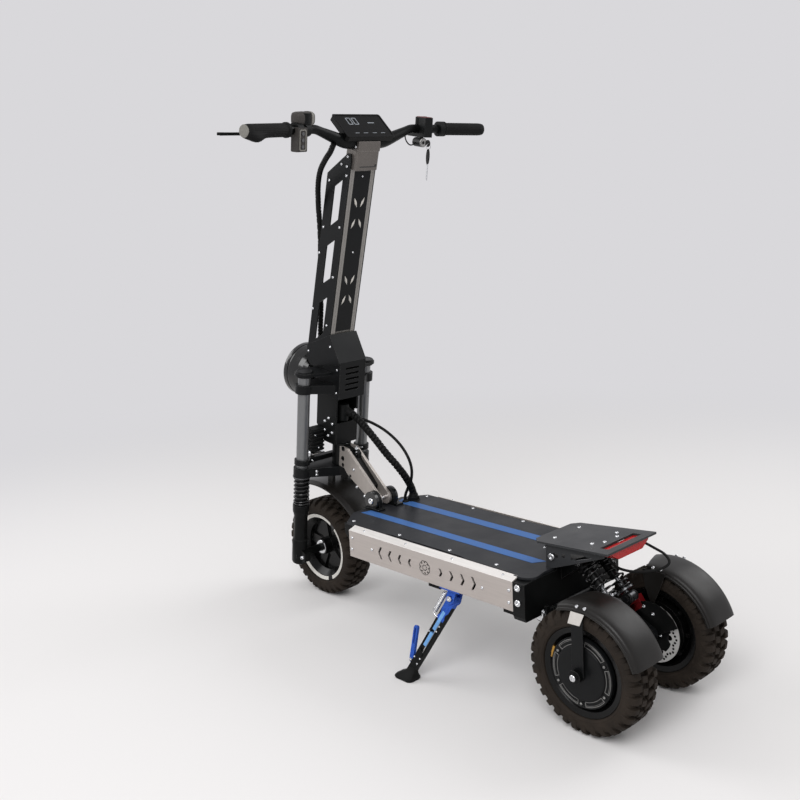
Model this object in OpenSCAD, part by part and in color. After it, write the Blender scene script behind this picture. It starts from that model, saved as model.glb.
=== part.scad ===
/* [Wheels] */
// Outer diameter of the tyres
tyre_d = 282; // [270:1:290]
// Width of the tyre casing
tyre_w = 88; // [80:1:92]
// Diameter of the rim where the tyre bead sits
bead_d = 186; // [176:1:196]
// Height of the tread blocks
tread_h = 7; // [4:1:9]
// Tread blocks in each row
tread_count = 22; // [16:1:26]
// Diameter of the front axle
front_axle_d = 15; // [12:1:18]
// Diameter of the rear axles
rear_axle_d = 16; // [12:1:18]
// Diameter of the hub motor covers
motor_d = 134; // [120:1:150]
// Diameter of the brake discs
disc_d = 140; // [134:1:144]
// Thickness of the brake discs
disc_t = 3; // [2:0.5:4]
// Gap between the arm plates and the brake discs
disc_gap = 7; // [5:0.5:9]

/* [Deck] */
// Height of the standing surface above the ground
deck_top_z = 304; // [300:1:310]
// Gap from the rear axles to the rear end of the tray
deck_rear_gap = 165; // [160:1:175]
// Length of the tray
deck_l = 625; // [600:1:640]
// Gap from the front end of the tray to the front axle
deck_front_gap = 251; // [248:1:260]
// Width of the tray between the side panels
tray_w = 292; // [280:1:300]
// Height of the tray
tray_h = 72; // [66:1:76]
// Wall of the tray
tray_wall = 5; // [3:0.5:8]
// Thickness of the top plate
top_t = 6; // [4:0.5:8]
// Width of the deck over the side panels
deck_w = 350; // [344:1:360]
// Thickness of the side panels
panel_t = 4; // [3:0.5:5]
// Length of the side panels
panel_l = 552; // [540:1:560]

/* [Carrier] */
// Thickness of the carrier plate
carrier_t = 5; // [4:0.5:6]
// Length of the carrier plate
carrier_l = 216; // [208:1:226]
// Width of the carrier plate at its rear edge
carrier_w = 184; // [176:1:192]
// Rise of the carrier plate towards the rear
carrier_rise = 5; // [3:0.1:7]
// Thickness of the gussets
gusset_t = 6; // [4:0.5:8]

/* [Rear suspension] */
// Diameter of the swingarm shaft
arm_shaft_d = 16; // [12:1:20]
// Height of the swingarm shaft above the ground
arm_pivot_z = 205; // [200:1:210]
// Distance between the outer faces of the arm plates
arm_w = 156; // [150:1:160]
// Thickness of the arm plates
arm_t = 14; // [10:1:18]
// Distance of each shock from the middle plane
shock_y = 30; // [28:1:34]
// Diameter of the shock bodies
shock_d = 22; // [18:1:24]
// Wire diameter of the shock springs
shock_wire = 5; // [4:0.5:6]
// Curls of each shock spring
shock_curls = 6; // [5:1:7]

/* [Fork and head] */
// Lean of the steering axis
rake = 8.6; // [7:0.1:10]
// Distance of the front axle ahead of the steering axis
axle_ahead = 34; // [30:1:38]
// Distance of the fork legs ahead of the steering axis
leg_ahead = 39; // [36:1:42]
// Half the distance between the fork legs
leg_y = 109; // [106:1:112]
// Diameter of the stanchions
stanchion_d = 34; // [32:1:36]
// Top end of the stanchions along the steering axis
stanchion_top = 530; // [524:1:536]
// Upper end of the fork lowers along the steering axis
lower_top = 155; // [146:1:160]
// Travel of the fork
fork_travel = 45; // [40:1:48]
// Wire diameter of the fork springs
fork_wire = 4; // [3:0.5:4.5]
// Curls of each fork spring
fork_curls = 8; // [6:1:9]
// Underside of the lower crown along the steering axis
low_crown_z = 240; // [236:1:244]
// Thickness of the lower crown
low_crown_h = 26; // [22:1:27]
// Underside of the upper crown along the steering axis
top_crown_z = 484; // [480:1:490]
// Thickness of the upper crown
top_crown_h = 24; // [20:1:26]
// Diameter of the steerer tube
steerer_d = 30; // [28:1:32]
// Outer diameter of the head tube
head_tube_d = 52; // [50:1:56]
// Length of the head tube
head_tube_l = 63; // [58:1:64]
// Width of the head box
head_box_w = 80; // [78:1:84]

/* [Column and bar] */
// Lean of the column behind the steering axis
column_lean = 7.4; // [6:0.1:9]
// Width of the column extrusion
column_w = 81; // [80:1:84]
// Depth of the column extrusion
column_d = 45; // [40:1:48]
// Length of the column above the hood
column_l = 450; // [430:1:470]
// Thickness of the column side plates
side_t = 4; // [3:0.5:5]
// Depth of the column side plates
side_d = 86; // [82:1:90]
// Diameter of the handlebar at the clamp
bar_clamp_d = 31.8; // [30:0.1:33]
// Diameter of the handlebar tube
bar_d = 22.2; // [22:0.1:24]
// Half the width of the handlebar
bar_half = 391; // [380:1:400]
// Rise of the handlebar
bar_rise = 33; // [28:1:38]
// Width of the display
display_w = 160; // [150:1:164]
// Length of the display
display_l = 84; // [78:1:90]
// Thickness of the display
display_t = 13; // [10:1:15]

/* [Fold and stand] */
// Diameter of the fold pin
fold_pin_d = 12; // [10:1:14]
// Height of the fold pin above the deck
fold_h = 23; // [22:1:26]
// Thickness of the neck plates
neck_t = 8; // [6:1:10]
// Distance between the inner faces of the neck plates
neck_gap = 26; // [24:1:30]
// Length of the kickstand from its pin to the ground
stand_l = 225; // [220:1:230]

/* [Fits] */
// Radial clearance of parts that turn or slide on each other
running_gap = 0.05; // [0.02:0.01:0.1]
// Gap between parts of different bodies that pass each other
free_gap = 0.5; // [0.3:0.1:1]

/* [Hidden] */
$fn = 64;

black = "#1d1e20";
satin_black = "#2b2c2e";
silver = "#a9a5a1";
grey = "#77726c";
chrome = "#d5d6d8";
rubber = "#201f1d";
red = "#a81717";
blue = "#2b66b8";

// Places worked out from the driving sizes
tyre_r = tyre_d / 2;
wheelbase = deck_rear_gap + deck_l + deck_front_gap;
motor_half = 40;
motor_boss_y = 12;
rear_track = arm_w + 2 * (disc_gap + disc_t + motor_boss_y + motor_half);
fender_back = 0;
fender_up = -2;
fender_r = 160;
fender_front_a = 70;
fender_rear_a = 160;
rear_reach = fender_back - fender_r * cos(fender_rear_a);
rear_axle_x = -(wheelbase + tyre_r - rear_reach) / 2;
front_axle_x = rear_axle_x + wheelbase;
deck_rear_x = rear_axle_x + deck_rear_gap;
deck_front_x = deck_rear_x + deck_l;
tray_top_z = deck_top_z - top_t;
tray_z = tray_top_z - tray_h;
steer_x = front_axle_x - axle_ahead * cos(rake);
steer_z = tyre_r - axle_ahead * sin(rake);
fold_x = deck_front_x + 13;
fold_z = deck_top_z + fold_h;
arm_x = rear_axle_x + 165;
neck_out = neck_gap / 2 + neck_t;
low_crown_top = low_crown_z + low_crown_h;
head_tube_z = low_crown_top + 2;
head_tube_top = head_tube_z + head_tube_l;
head_box_z = head_tube_top + 2;
top_crown_top = top_crown_z + top_crown_h;

// A point of the steering frame in the plane of symmetry, as [x, z]
function steer_pt(x, z) = [steer_x + x * cos(rake) - z * sin(rake), steer_z + x * sin(rake) + z * cos(rake)];
function unit(v) = v / norm(v);

// Steering frame: z runs up the steering axis, x forward, from the foot of the front axle
module on_steering() {
  translate([steer_x, 0, steer_z])
    rotate([0, -rake, 0])
      children();
}

// Column frame: z runs up the rear face of the column
column_foot_x = 14;
column_foot_z = 641;
module on_column() {
  on_steering()
    translate([column_foot_x, 0, column_foot_z])
      rotate([0, -column_lean, 0])
        children();
}

module both_sides() {
  children();
  mirror([0, 1, 0]) children();
}

// Extrudes an outline drawn in x and z across the width, centred on y
module across(width, y = 0) {
  translate([0, y + width / 2, 0])
    rotate([90, 0, 0])
      linear_extrude(width)
        children();
}

// Round bar or bore across the width, centred on y
module cross_bar(x, z, d, width, y = 0) {
  translate([x, y, z])
    rotate([90, 0, 0])
      cylinder(d = d, h = width, center = true);
}

// Tube along straight runs whose ends sit in slightly thicker round bends
bend_lap = 1;
bend_step = 0.3;
module bent_tube(points, d, bend_r) {
  last = len(points) - 1;
  dirs = [for (i = [0:last - 1]) unit(points[i + 1] - points[i])];
  angles = [for (i = [1:last - 1]) acos(dirs[i - 1] * dirs[i])];
  cuts = concat([0], [for (a = angles) bend_r * tan(a / 2)], [0]);
  for (i = [0:last - 1])
    run_between(points[i] + dirs[i] * (cuts[i] - (i > 0 ? bend_lap : 0)),
      points[i + 1] - dirs[i] * (cuts[i + 1] - (i < last - 1 ? bend_lap : 0)), d);
  for (i = [1:last - 1])
    bend_at(points[i], dirs[i - 1], dirs[i], cuts[i], d + 2 * bend_step, bend_r, angles[i - 1]);
}

module run_between(a, b, d) {
  along = unit(b - a);
  up = square_to([0, 0, 1], along);
  side = cross(along, up);
  multmatrix([
    [up[0], side[0], along[0], a[0]],
    [up[1], side[1], along[1], a[1]],
    [up[2], side[2], along[2], a[2]],
    [0, 0, 0, 1]])
    cylinder(d = d, h = norm(b - a));
}

module bend_at(corner, a, b, cut, d, bend_r, angle) {
  inward = unit(b - a * (a * b));
  axis = cross(a, inward);
  centre = corner - a * cut + inward * bend_r;
  multmatrix([
    [-inward[0], a[0], axis[0], centre[0]],
    [-inward[1], a[1], axis[1], centre[1]],
    [-inward[2], a[2], axis[2], centre[2]],
    [0, 0, 0, 1]])
    rotate_extrude(angle = angle)
      translate([bend_r, 0])
        circle(d = d);
}

// Swept tube through points chosen by hand, smoothed by a spline, for cords
function spline(p, i, t) =
  let (last = len(p) - 1, a = p[max(i - 1, 0)], b = p[i], c = p[min(i + 1, last)], d = p[min(i + 2, last)])
  0.5 * (2 * b + (c - a) * t + (2 * a - 5 * b + 4 * c - d) * t * t + (3 * b - a - 3 * c + d) * t * t * t);
function smooth(p, steps) = concat(
  [for (i = [0:len(p) - 2], k = [0:steps - 1]) spline(p, i, k / steps)],
  [p[len(p) - 1]]);
function heading(path, i) = unit(path[min(i + 1, len(path) - 1)] - path[max(i - 1, 0)]);
function square_to(v, t) = unit(v - t * (v * t));
// Sideways directions carried along the path without twist
function carried(path, i, v) = i >= len(path) ? [] :
  let (w = square_to(v, heading(path, i))) concat([w], carried(path, i + 1, w));

module swept(path, r, sides, side) {
  across_dirs = carried(path, 0, side);
  rings = len(path);
  points = [
    for (i = [0:rings - 1], k = [0:sides - 1])
      let (n = across_dirs[i], b = cross(heading(path, i), n), a = 360 * k / sides)
      path[i] + r * (cos(a) * n + sin(a) * b)];
  walls = [
    for (i = [0:rings - 2], k = [0:sides - 1], half = [0, 1])
      let (p = i * sides + k, q = i * sides + (k + 1) % sides)
      half == 0 ? [p, q + sides, q] : [p, p + sides, q + sides]];
  first = [for (k = [1:sides - 2]) [0, k, k + 1]];
  final = [for (k = [1:sides - 2]) (rings - 1) * sides * [1, 1, 1] + [0, k + 1, k]];
  polyhedron(points, concat(walls, first, final), convexity = 8);
}

// Spring: one unbroken wire from z0 to z1 with closed end curls
curl_rings = 8;
wire_sides = 6;
end_curls = 1;
function spring_z(turn, curls, wire, z0, z1) =
  let (
    dead = (wire + spring_self_gap) * end_curls,
    pitch = (z1 - z0 - wire - 2 * dead) / (curls - 2 * end_curls),
    low = min(turn, end_curls),
    mid = min(max(turn - end_curls, 0), curls - 2 * end_curls),
    high = max(turn - curls + end_curls, 0))
  z0 + wire / 2 + (low + high) * dead / end_curls + mid * pitch;
spring_self_gap = 0.8;
spring_rod_gap = 0.4;
function spring_path(d, curls, wire, z0, z1) = [
  for (i = [0:curls * curl_rings])
    let (a = 360 * i / curl_rings, t = i / curl_rings)
    [d / 2 * cos(a), d / 2 * sin(a), spring_z(t, curls, wire, z0, z1)]];
// Least distance between wire surfaces one curl or more apart
function self_gap(path, wire) = min([
  for (i = [0:len(path) - 1], j = [i + curl_rings - 1:1:len(path) - 1])
    norm(path[i] - path[j])]) - wire;

module spring(d, curls, wire, z0, z1) {
  path = spring_path(d, curls, wire, z0, z1);
  echo(spring_gap = self_gap(path, wire));
  swept(path, wire / 2, wire_sides, [1, 0, 0]);
}

// Deck

chevrons = 4;
chevron_step = 36;
chevron_first = 52;
vent_r = 20;
vent_holes = 8;
panel_x = deck_rear_x + 22;
panel_mid_x = panel_x + panel_l / 2;
panel_out = deck_w / 2;
panel_low_z = tray_z;
panel_high_z = deck_top_z - 8;
panel_mid_z = (panel_low_z + panel_high_z) / 2;
panel_top_y = tray_w / 2 + 7;
panel_end_gap = 0.5;
gland_x = fold_x - 30;
gland_y = -92;
gland_d = 26;
hose_x = fold_x - 25;
hose_y = -66;
hose_d = 9;

module deck_tray() {
  front_slope = 45;
  color(satin_black)
  difference() {
    across(tray_w)
      polygon([
        [deck_rear_x, tray_z], [deck_front_x - front_slope, tray_z], [deck_front_x, tray_z + front_slope],
        [deck_front_x, tray_top_z], [deck_rear_x, tray_top_z]]);
    across(tray_w - 2 * tray_wall)
      polygon([
        [deck_rear_x + tray_wall, tray_z + tray_wall],
        [deck_front_x - front_slope - tray_wall, tray_z + tray_wall],
        [deck_front_x - tray_wall, tray_z + front_slope + tray_wall],
        [deck_front_x - tray_wall, tray_top_z + 1], [deck_rear_x + tray_wall, tray_top_z + 1]]);
  }
}

module deck_top() {
  half = tray_w / 2 + 4;
  rear = deck_rear_x - 7;
  front = deck_front_x + 30;
  corner = 45;
  waist = 6;
  right = [
    [rear, -half + 35], [rear + corner, -half], [rear + 190, -half], [rear + 215, -half + waist],
    [front - 215, -half + waist], [front - 190, -half], [front - corner, -half], [front, -half + 60]];
  left = [for (i = [len(right) - 1:-1:0]) [right[i][0], -right[i][1]]];
  color(black)
  difference() {
    translate([0, 0, tray_top_z])
      linear_extrude(top_t)
        polygon(concat(right, left));
    translate([gland_x, gland_y, tray_top_z - 1])
      cylinder(d = gland_d, h = top_t + 2);
    translate([hose_x, hose_y, tray_top_z - 1])
      cylinder(d = hose_d, h = top_t + 2);
  }
}

module chevron(height, x, way) {
  arm = 7;
  point = height / 2;
  across(4 * panel_t, panel_out)
    translate([x, panel_mid_z])
      polygon([
        [0, 0], [-way * point * 0.55, point], [-way * (point * 0.55 - arm), point],
        [way * arm, 0], [-way * (point * 0.55 - arm), -point], [-way * point * 0.55, -point]]);
}

module panel_left() {
  inner = panel_out - panel_t;
  difference() {
    translate([panel_x, 0, 0])
      rotate([90, 0, 90])
        linear_extrude(panel_l)
          polygon([
            [tray_w / 2, panel_low_z], [panel_out, panel_low_z], [panel_out, panel_high_z],
            [panel_top_y, deck_top_z], [panel_top_y, deck_top_z - panel_t], [inner, panel_high_z - panel_t / 2],
            [inner, panel_low_z + panel_t], [tray_w / 2, panel_low_z + panel_t]]);
    for (i = [0:chevrons - 1], way = [-1, 1])
      chevron(20 + 4 * i, panel_mid_x + way * (chevron_first + i * chevron_step), way);
    for (i = [0:vent_holes - 1])
      cross_bar(panel_mid_x + (vent_r - 6) * cos(i * 360 / vent_holes),
        panel_mid_z + (vent_r - 6) * sin(i * 360 / vent_holes), 6, 4 * panel_t, panel_out);
  }
}

module side_panels() {
  color(silver)
  both_sides() panel_left();
}

module battery_pack() {
  floor_z = tray_z + tray_wall;
  cell_h = tray_h - tray_wall - 12;
  cell_w = tray_w - 2 * tray_wall - 24;
  cell_x = deck_rear_x + tray_wall + 130;
  cell_l = deck_l - 2 * tray_wall - 200;
  control_l = 100;
  control_h = 40;
  color("royalblue") {
    translate([cell_x, -cell_w / 2, floor_z])
      cube([cell_l, cell_w, cell_h]);
    both_sides()
      translate([deck_rear_x + tray_wall + 12, 10, floor_z])
        cube([control_l, cell_w / 2 - 10, control_h]);
  }
}

// Rear frame, swingarm and shocks

shock_top = [rear_axle_x + 105, 322];
shock_low = [rear_axle_x + 20, 240];
shock_lean = atan2(shock_top[0] - shock_low[0], shock_top[1] - shock_low[1]);
shock_l = norm(shock_top - shock_low);
shock_eye_d = 24;
shock_eye_w = 18;
shock_pin_d = 8;
lug_t = 6;
lug_gap = 0.4;
arm_tube_d = 30;
frame_x = deck_rear_x - 12;
frame_low_z = arm_pivot_z + arm_tube_d / 2 + 1.5;
arm_lug_y = 102;
arm_lug_t = 12;
arm_lug_d = 38;
arm_tube_w = 2 * (arm_lug_y - arm_lug_t / 2 - free_gap);
arm_in = arm_w / 2 - arm_t;

module shock_lugs(y, outline_pin) {
  for (side = [-1, 1])
    across(lug_t, y + side * (shock_eye_w / 2 + lug_gap + lug_t / 2))
      difference() {
        children();
        translate(outline_pin) circle(d = shock_pin_d);
      }
}

module rear_frame() {
  plate_high_z = 334;
  mid_half = 62;
  color(black) {
    difference() {
      union() {
        translate([frame_x, -tray_w / 2, frame_low_z])
          cube([deck_rear_x - frame_x, tray_w, tray_top_z - frame_low_z]);
        translate([frame_x, -mid_half, tray_top_z - 1])
          cube([deck_rear_x - 8 - frame_x, 2 * mid_half, plate_high_z - tray_top_z + 1]);
        for (side = [-1, 1])
          corner_block(side);
        for (side = [-1, 1])
          across(arm_lug_t, side * arm_lug_y)
            union() {
              translate([arm_x, arm_pivot_z]) circle(d = arm_lug_d);
              translate([arm_x - arm_lug_d / 2, arm_pivot_z])
                square([arm_lug_d, tray_z - arm_pivot_z]);
            }
      }
      cross_bar(arm_x, arm_pivot_z, arm_shaft_d, tray_w);
    }
    both_sides()
      shock_lugs(shock_y, shock_top)
        union() {
          translate(shock_top) circle(d = shock_eye_d);
          polygon([
            shock_top + [0, shock_eye_d / 2], [frame_x, plate_high_z], [frame_x, plate_high_z - 62],
            shock_top + [0, -shock_eye_d / 2]]);
        }
  }
}

// Block that closes the rear end of a side panel and runs down beside the swingarm shaft
module corner_block(side) {
  block_in = arm_lug_y + arm_lug_t / 2 + 9;
  low_z = tray_z - 18;
  slope = 9;
  mirror([0, side < 0 ? 1 : 0, 0])
    difference() {
      translate([frame_x, 0, 0])
        rotate([90, 0, 90])
          linear_extrude(panel_x - panel_end_gap - frame_x)
            polygon([
              [block_in, low_z], [panel_out - 4, low_z], [panel_out, low_z + slope], [panel_out, panel_high_z],
              [panel_top_y, tray_top_z - 0.5], [block_in, tray_top_z - 0.5]]);
      translate([deck_rear_x, 0, tray_z])
        cube([100, tray_w / 2, 2 * tray_h]);
      translate([deck_rear_x, 0, 0])
        cube([100, panel_out - 12, tray_z - 0.5]);
    }
}

module pivot_pins() {
  head_t = 6;
  color(chrome) {
    arm_end = arm_lug_y + arm_lug_t / 2;
    cross_bar(arm_x, arm_pivot_z, arm_shaft_d - 2 * running_gap, 2 * arm_end + 4);
    for (side = [-1, 1])
      cross_bar(arm_x, arm_pivot_z, arm_shaft_d + 10, head_t, side * (arm_end + head_t / 2));
    cross_bar(fold_x, fold_z, fold_pin_d - 2 * running_gap, 2 * ear_out + 4);
    for (side = [-1, 1])
      cross_bar(fold_x, fold_z, fold_pin_d + 9, head_t, side * (ear_out + head_t / 2));
    both_sides() {
      shock_bolt(shock_top);
    }
  }
}

module shock_bolt(place) {
  bolt_w = shock_eye_w + 2 * lug_gap + 2 * lug_t;
  head_t = 4;
  cross_bar(place[0], place[1], shock_pin_d - 2 * running_gap, bolt_w + 2, shock_y);
  for (side = [-1, 1])
    cross_bar(place[0], place[1], shock_pin_d + 6, head_t, shock_y + side * (bolt_w + head_t) / 2);
}

module swingarm() {
  eye_d = 42;
  beam_x = rear_axle_x + 70;
  beam_z = 178;
  beam_d = 26;
  color(black)
  difference() {
    union() {
      cross_bar(arm_x, arm_pivot_z, arm_tube_d, arm_tube_w);
      cross_bar(beam_x, beam_z, beam_d, arm_w - arm_t);
      for (side = [-1, 1])
        across(arm_t, side * (arm_w - arm_t) / 2) {
          translate([rear_axle_x, tyre_r]) circle(d = eye_d);
          polygon([
            [rear_axle_x - 3, tyre_r + eye_d / 2], [beam_x, beam_z + 20], [arm_x, arm_pivot_z + arm_tube_d / 2],
            [arm_x, arm_pivot_z - arm_tube_d / 2], [beam_x, beam_z - 34], [rear_axle_x + 3, tyre_r - eye_d / 2]]);
        }
      both_sides()
        shock_lugs(shock_y, shock_low)
          union() {
            translate(shock_low) circle(d = shock_eye_d);
            polygon([
              shock_low + [-shock_eye_d / 2, 0], [beam_x - 12, beam_z], [beam_x + 12, beam_z],
              shock_low + [shock_eye_d / 2, 0]]);
          }
    }
    cross_bar(arm_x, arm_pivot_z, arm_shaft_d, arm_tube_w + 2);
    cross_bar(rear_axle_x, tyre_r, rear_axle_d, arm_w + 2);
  }
  color(chrome) both_sides() shock_bolt(shock_low);
}

module rear_axles() {
  nut_t = 12;
  nut_y = axle_nut_y;
  color(chrome)
  both_sides() {
    cross_bar(rear_axle_x, tyre_r, rear_axle_d - 2 * running_gap, axle_end_y - arm_in + 8,
      (axle_end_y + arm_in - 8) / 2);
    cross_bar(rear_axle_x, tyre_r, 30, nut_t, nut_y + nut_t / 2);
    cross_bar(rear_axle_x, tyre_r, 30, 7, arm_in - 3.5);
  }
}

// Shock frame: z runs from the lower eye to the upper eye
module on_shock() {
  translate([shock_low[0], shock_y, shock_low[1]])
    rotate([0, shock_lean, 0])
      children();
}

shock_seat_low = 20;
shock_seat_high = shock_l - 18;
shock_seat_d = 42;
shock_seat_t = 4;
shock_rod_d = 10;
shock_body_low = 52;
shock_bore_gap = 0.6;

module shock_bodies() {
  color(black)
  both_sides()
    difference() {
      union() {
        on_shock() {
          translate([0, 0, shock_body_low])
            cylinder(d = shock_d, h = shock_seat_high - shock_body_low);
          translate([0, 0, shock_seat_high])
            cylinder(d = shock_eye_w - 4, h = shock_l - shock_seat_high);
          translate([0, 0, shock_seat_high])
            cylinder(d = shock_seat_d, h = shock_seat_t);
        }
        cross_bar(shock_top[0], shock_top[1], shock_eye_d, shock_eye_w, shock_y);
      }
      cross_bar(shock_top[0], shock_top[1], shock_pin_d, shock_eye_w + 2, shock_y);
      on_shock()
        translate([0, 0, shock_body_low - 1])
          cylinder(d = shock_rod_d + 2 * shock_bore_gap, h = shock_l - shock_body_low - 20);
    }
}

module shock_rods() {
  rod_end = shock_body_low + 12;
  color(chrome)
  both_sides()
    difference() {
      union() {
        on_shock() {
          cylinder(d = shock_rod_d, h = rod_end);
          translate([0, 0, shock_seat_low - shock_seat_t])
            cylinder(d = shock_seat_d, h = shock_seat_t);
        }
        cross_bar(shock_low[0], shock_low[1], shock_eye_d, shock_eye_w, shock_y);
      }
      cross_bar(shock_low[0], shock_low[1], shock_pin_d, shock_eye_w + 2, shock_y);
    }
}

module shock_springs() {
  seat_gap = 0.3;
  color(black)
  both_sides()
    on_shock()
      spring(shock_seat_d - shock_wire - 2, shock_curls, shock_wire,
        shock_seat_low + seat_gap, shock_seat_high - seat_gap);
}

// Carrier and tail light

carrier_front_x = rear_axle_x + 208;
carrier_front_z = 357;
gusset_y = 72;

// Carrier frame: x runs back along the underside of the plate from its front edge
module on_carrier() {
  translate([carrier_front_x, 0, carrier_front_z])
    rotate([0, carrier_rise, 0])
      children();
}

module carrier_plate() {
  front_half = carrier_w / 2 - 12;
  rear_half = carrier_w / 2;
  corner = 16;
  slot_l = 124;
  slot_w = 22;
  slot_x = 30;
  color(satin_black)
  on_carrier()
    difference() {
      linear_extrude(carrier_t)
        polygon([
          [0, -front_half + corner], [-corner, -front_half], [-carrier_l, -rear_half],
          [-carrier_l, rear_half], [-corner, front_half], [0, front_half - corner]]);
      translate([-carrier_l + slot_x - slot_w / 2, -slot_l / 2, -1])
        cube([slot_w, slot_l, carrier_t + 2]);
    }
}

module carrier_gussets() {
  foot_w = 20;
  front_x = rear_axle_x + 172;
  drop = 13;
  function under(x) = carrier_front_z + (carrier_front_x - x) * tan(carrier_rise);
  tip_x = rear_axle_x + 16;
  knee_x = rear_axle_x + 128;
  hole = [[rear_axle_x + 46, 17], [rear_axle_x + 96, 14], [rear_axle_x + 92, 29]];
  color(black)
  both_sides()
    difference() {
      union() {
        across(gusset_t, gusset_y)
          difference() {
            polygon([
              [front_x, deck_top_z], [front_x, under(front_x)], [tip_x, under(tip_x)],
              [tip_x, under(tip_x) - drop], [knee_x, deck_top_z + 12], [knee_x + 32, deck_top_z]]);
            polygon([for (p = hole) [p[0], under(p[0]) - p[1]]]);
          }
        translate([frame_x + 6, gusset_y - gusset_t / 2 - foot_w, deck_top_z])
          cube([front_x - frame_x - 6, foot_w, gusset_t]);
      }
      cross_bar(front_x - 26, deck_top_z + 34, 12, 4 * gusset_t, gusset_y);
    }
}

module rear_carrier() {
  carrier_plate();
  carrier_gussets();
}

module tail_light() {
  top_half = 68;
  low_half = 44;
  depth = 34;
  height = 20;
  edge = 6;
  color(red)
  on_carrier()
    translate([-carrier_l + 6, 0, 0])
      rotate([90, 0, 90])
        linear_extrude(depth)
          polygon([
            [-top_half, 0], [-top_half, -edge], [-low_half, -height],
            [low_half, -height], [top_half, -edge], [top_half, 0]]);
}

tail_cable_d = 6;
tail_cable_at = [rear_axle_x, 0, carrier_front_z];
tail_cable_route = [for (p = [
  [1, -60.5, 4.9], [-13, -72, -6], [-35, -80, -18], [-49, -78, -32], [-45, -64, -42], [-26, -38, -48],
  [2, -8, -46], [26, 12, -36], [40, 16, -21], [46, 16, -4], [48, 16, 13.2]]) tail_cable_at + p];

module tail_light_cable() {
  color(black)
    swept(smooth(tail_cable_route, 2), tail_cable_d / 2, 8, [0, 0, 1]);
}

// Fold bracket, neck and head tube

ear_in = neck_out + free_gap;
ear_t = 10;
ear_out = ear_in + ear_t;
ear_d = 52;

module neck_bracket() {
  foot_w = 14;
  foot_t = 6;
  foot_l = 58;
  color(black)
  both_sides()
    difference() {
      union() {
        across(ear_t, ear_in + ear_t / 2)
          difference() {
            union() {
              translate([fold_x, fold_z]) circle(d = ear_d);
              translate([fold_x - ear_d / 2, deck_top_z]) square([ear_d, fold_h]);
            }
            translate([fold_x - ear_d, deck_top_z - ear_d]) square([2 * ear_d, ear_d]);
          }
        translate([fold_x - foot_l / 2 - 8, ear_in, deck_top_z])
          cube([foot_l, ear_t + foot_w, foot_t]);
      }
      cross_bar(fold_x, fold_z, fold_pin_d, 8 * ear_t);
    }
}

neck_eye_d = 38;
neck_tube_gap = 0.3;
neck_top = steer_pt(-46, head_tube_top - 4);
neck_front_high = steer_pt(-14, head_tube_top - 4);
neck_front_low = steer_pt(-14, head_tube_z + 1);
neck_under = steer_pt(-38, head_tube_z);
neck_low = steer_pt(-52, head_tube_z - 14);

module neck_outline() {
  translate([fold_x, fold_z]) circle(d = neck_eye_d);
  polygon([
    [fold_x - neck_eye_d / 2 + 4, fold_z + 11], neck_top, neck_front_high, neck_front_low, neck_under, neck_low,
    [fold_x + 8, fold_z - neck_eye_d / 2 + 1.5]]);
}

module neck_plates() {
  color(silver)
  difference() {
    for (side = [-1, 1])
      across(neck_t, side * (neck_gap + neck_t) / 2)
        neck_outline();
    cross_bar(fold_x, fold_z, fold_pin_d, 2 * neck_out + 2);
    on_steering()
      translate([0, 0, head_tube_z - 60])
        cylinder(d = head_tube_d + 2 * neck_tube_gap, h = head_tube_l + 120);
  }
}

bearing_d = 42;
bearing_h = 12;

module neck_core() {
  color(black)
  difference() {
    union() {
      across(neck_gap)
        polygon([
          [fold_x + 26, fold_z + 30], steer_pt(-52, head_tube_top - 14), steer_pt(-10, head_tube_top - 6),
          steer_pt(-10, head_tube_z + 4), steer_pt(-52, head_tube_z + 1), [fold_x + 34, fold_z + 4]]);
      on_steering()
        translate([0, 0, head_tube_z])
          cylinder(d = head_tube_d, h = head_tube_l);
    }
    on_steering() {
      translate([0, 0, head_tube_z - 1])
        cylinder(d = steerer_d + 6, h = head_tube_l + 2);
      translate([0, 0, head_tube_z - 1])
        cylinder(d = bearing_d, h = bearing_h + 1);
      translate([0, 0, head_tube_top - bearing_h])
        cylinder(d = bearing_d, h = bearing_h + 1);
    }
  }
}

module headset_bearings() {
  color(chrome)
  on_steering()
    for (z = [head_tube_z, head_tube_top - bearing_h])
      translate([0, 0, z])
        difference() {
          cylinder(d = bearing_d, h = bearing_h);
          translate([0, 0, -1]) cylinder(d = steerer_d, h = bearing_h + 2);
        }
}

// Fork

clamp_d = stanchion_d + 14;
brace_z = low_crown_top + 10;
brace_h = 14;

module leg_places() {
  for (side = [-1, 1])
    translate([leg_ahead, side * leg_y, 0])
      children();
}

module crown_outline(rear, front, mid_half) {
  leg_places() circle(d = clamp_d);
  polygon([
    [rear, -mid_half], [leg_ahead - 18, -leg_y], [leg_ahead + 18, -leg_y], [front, -mid_half],
    [front, mid_half], [leg_ahead + 18, leg_y], [leg_ahead - 18, leg_y], [rear, mid_half]]);
}

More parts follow.
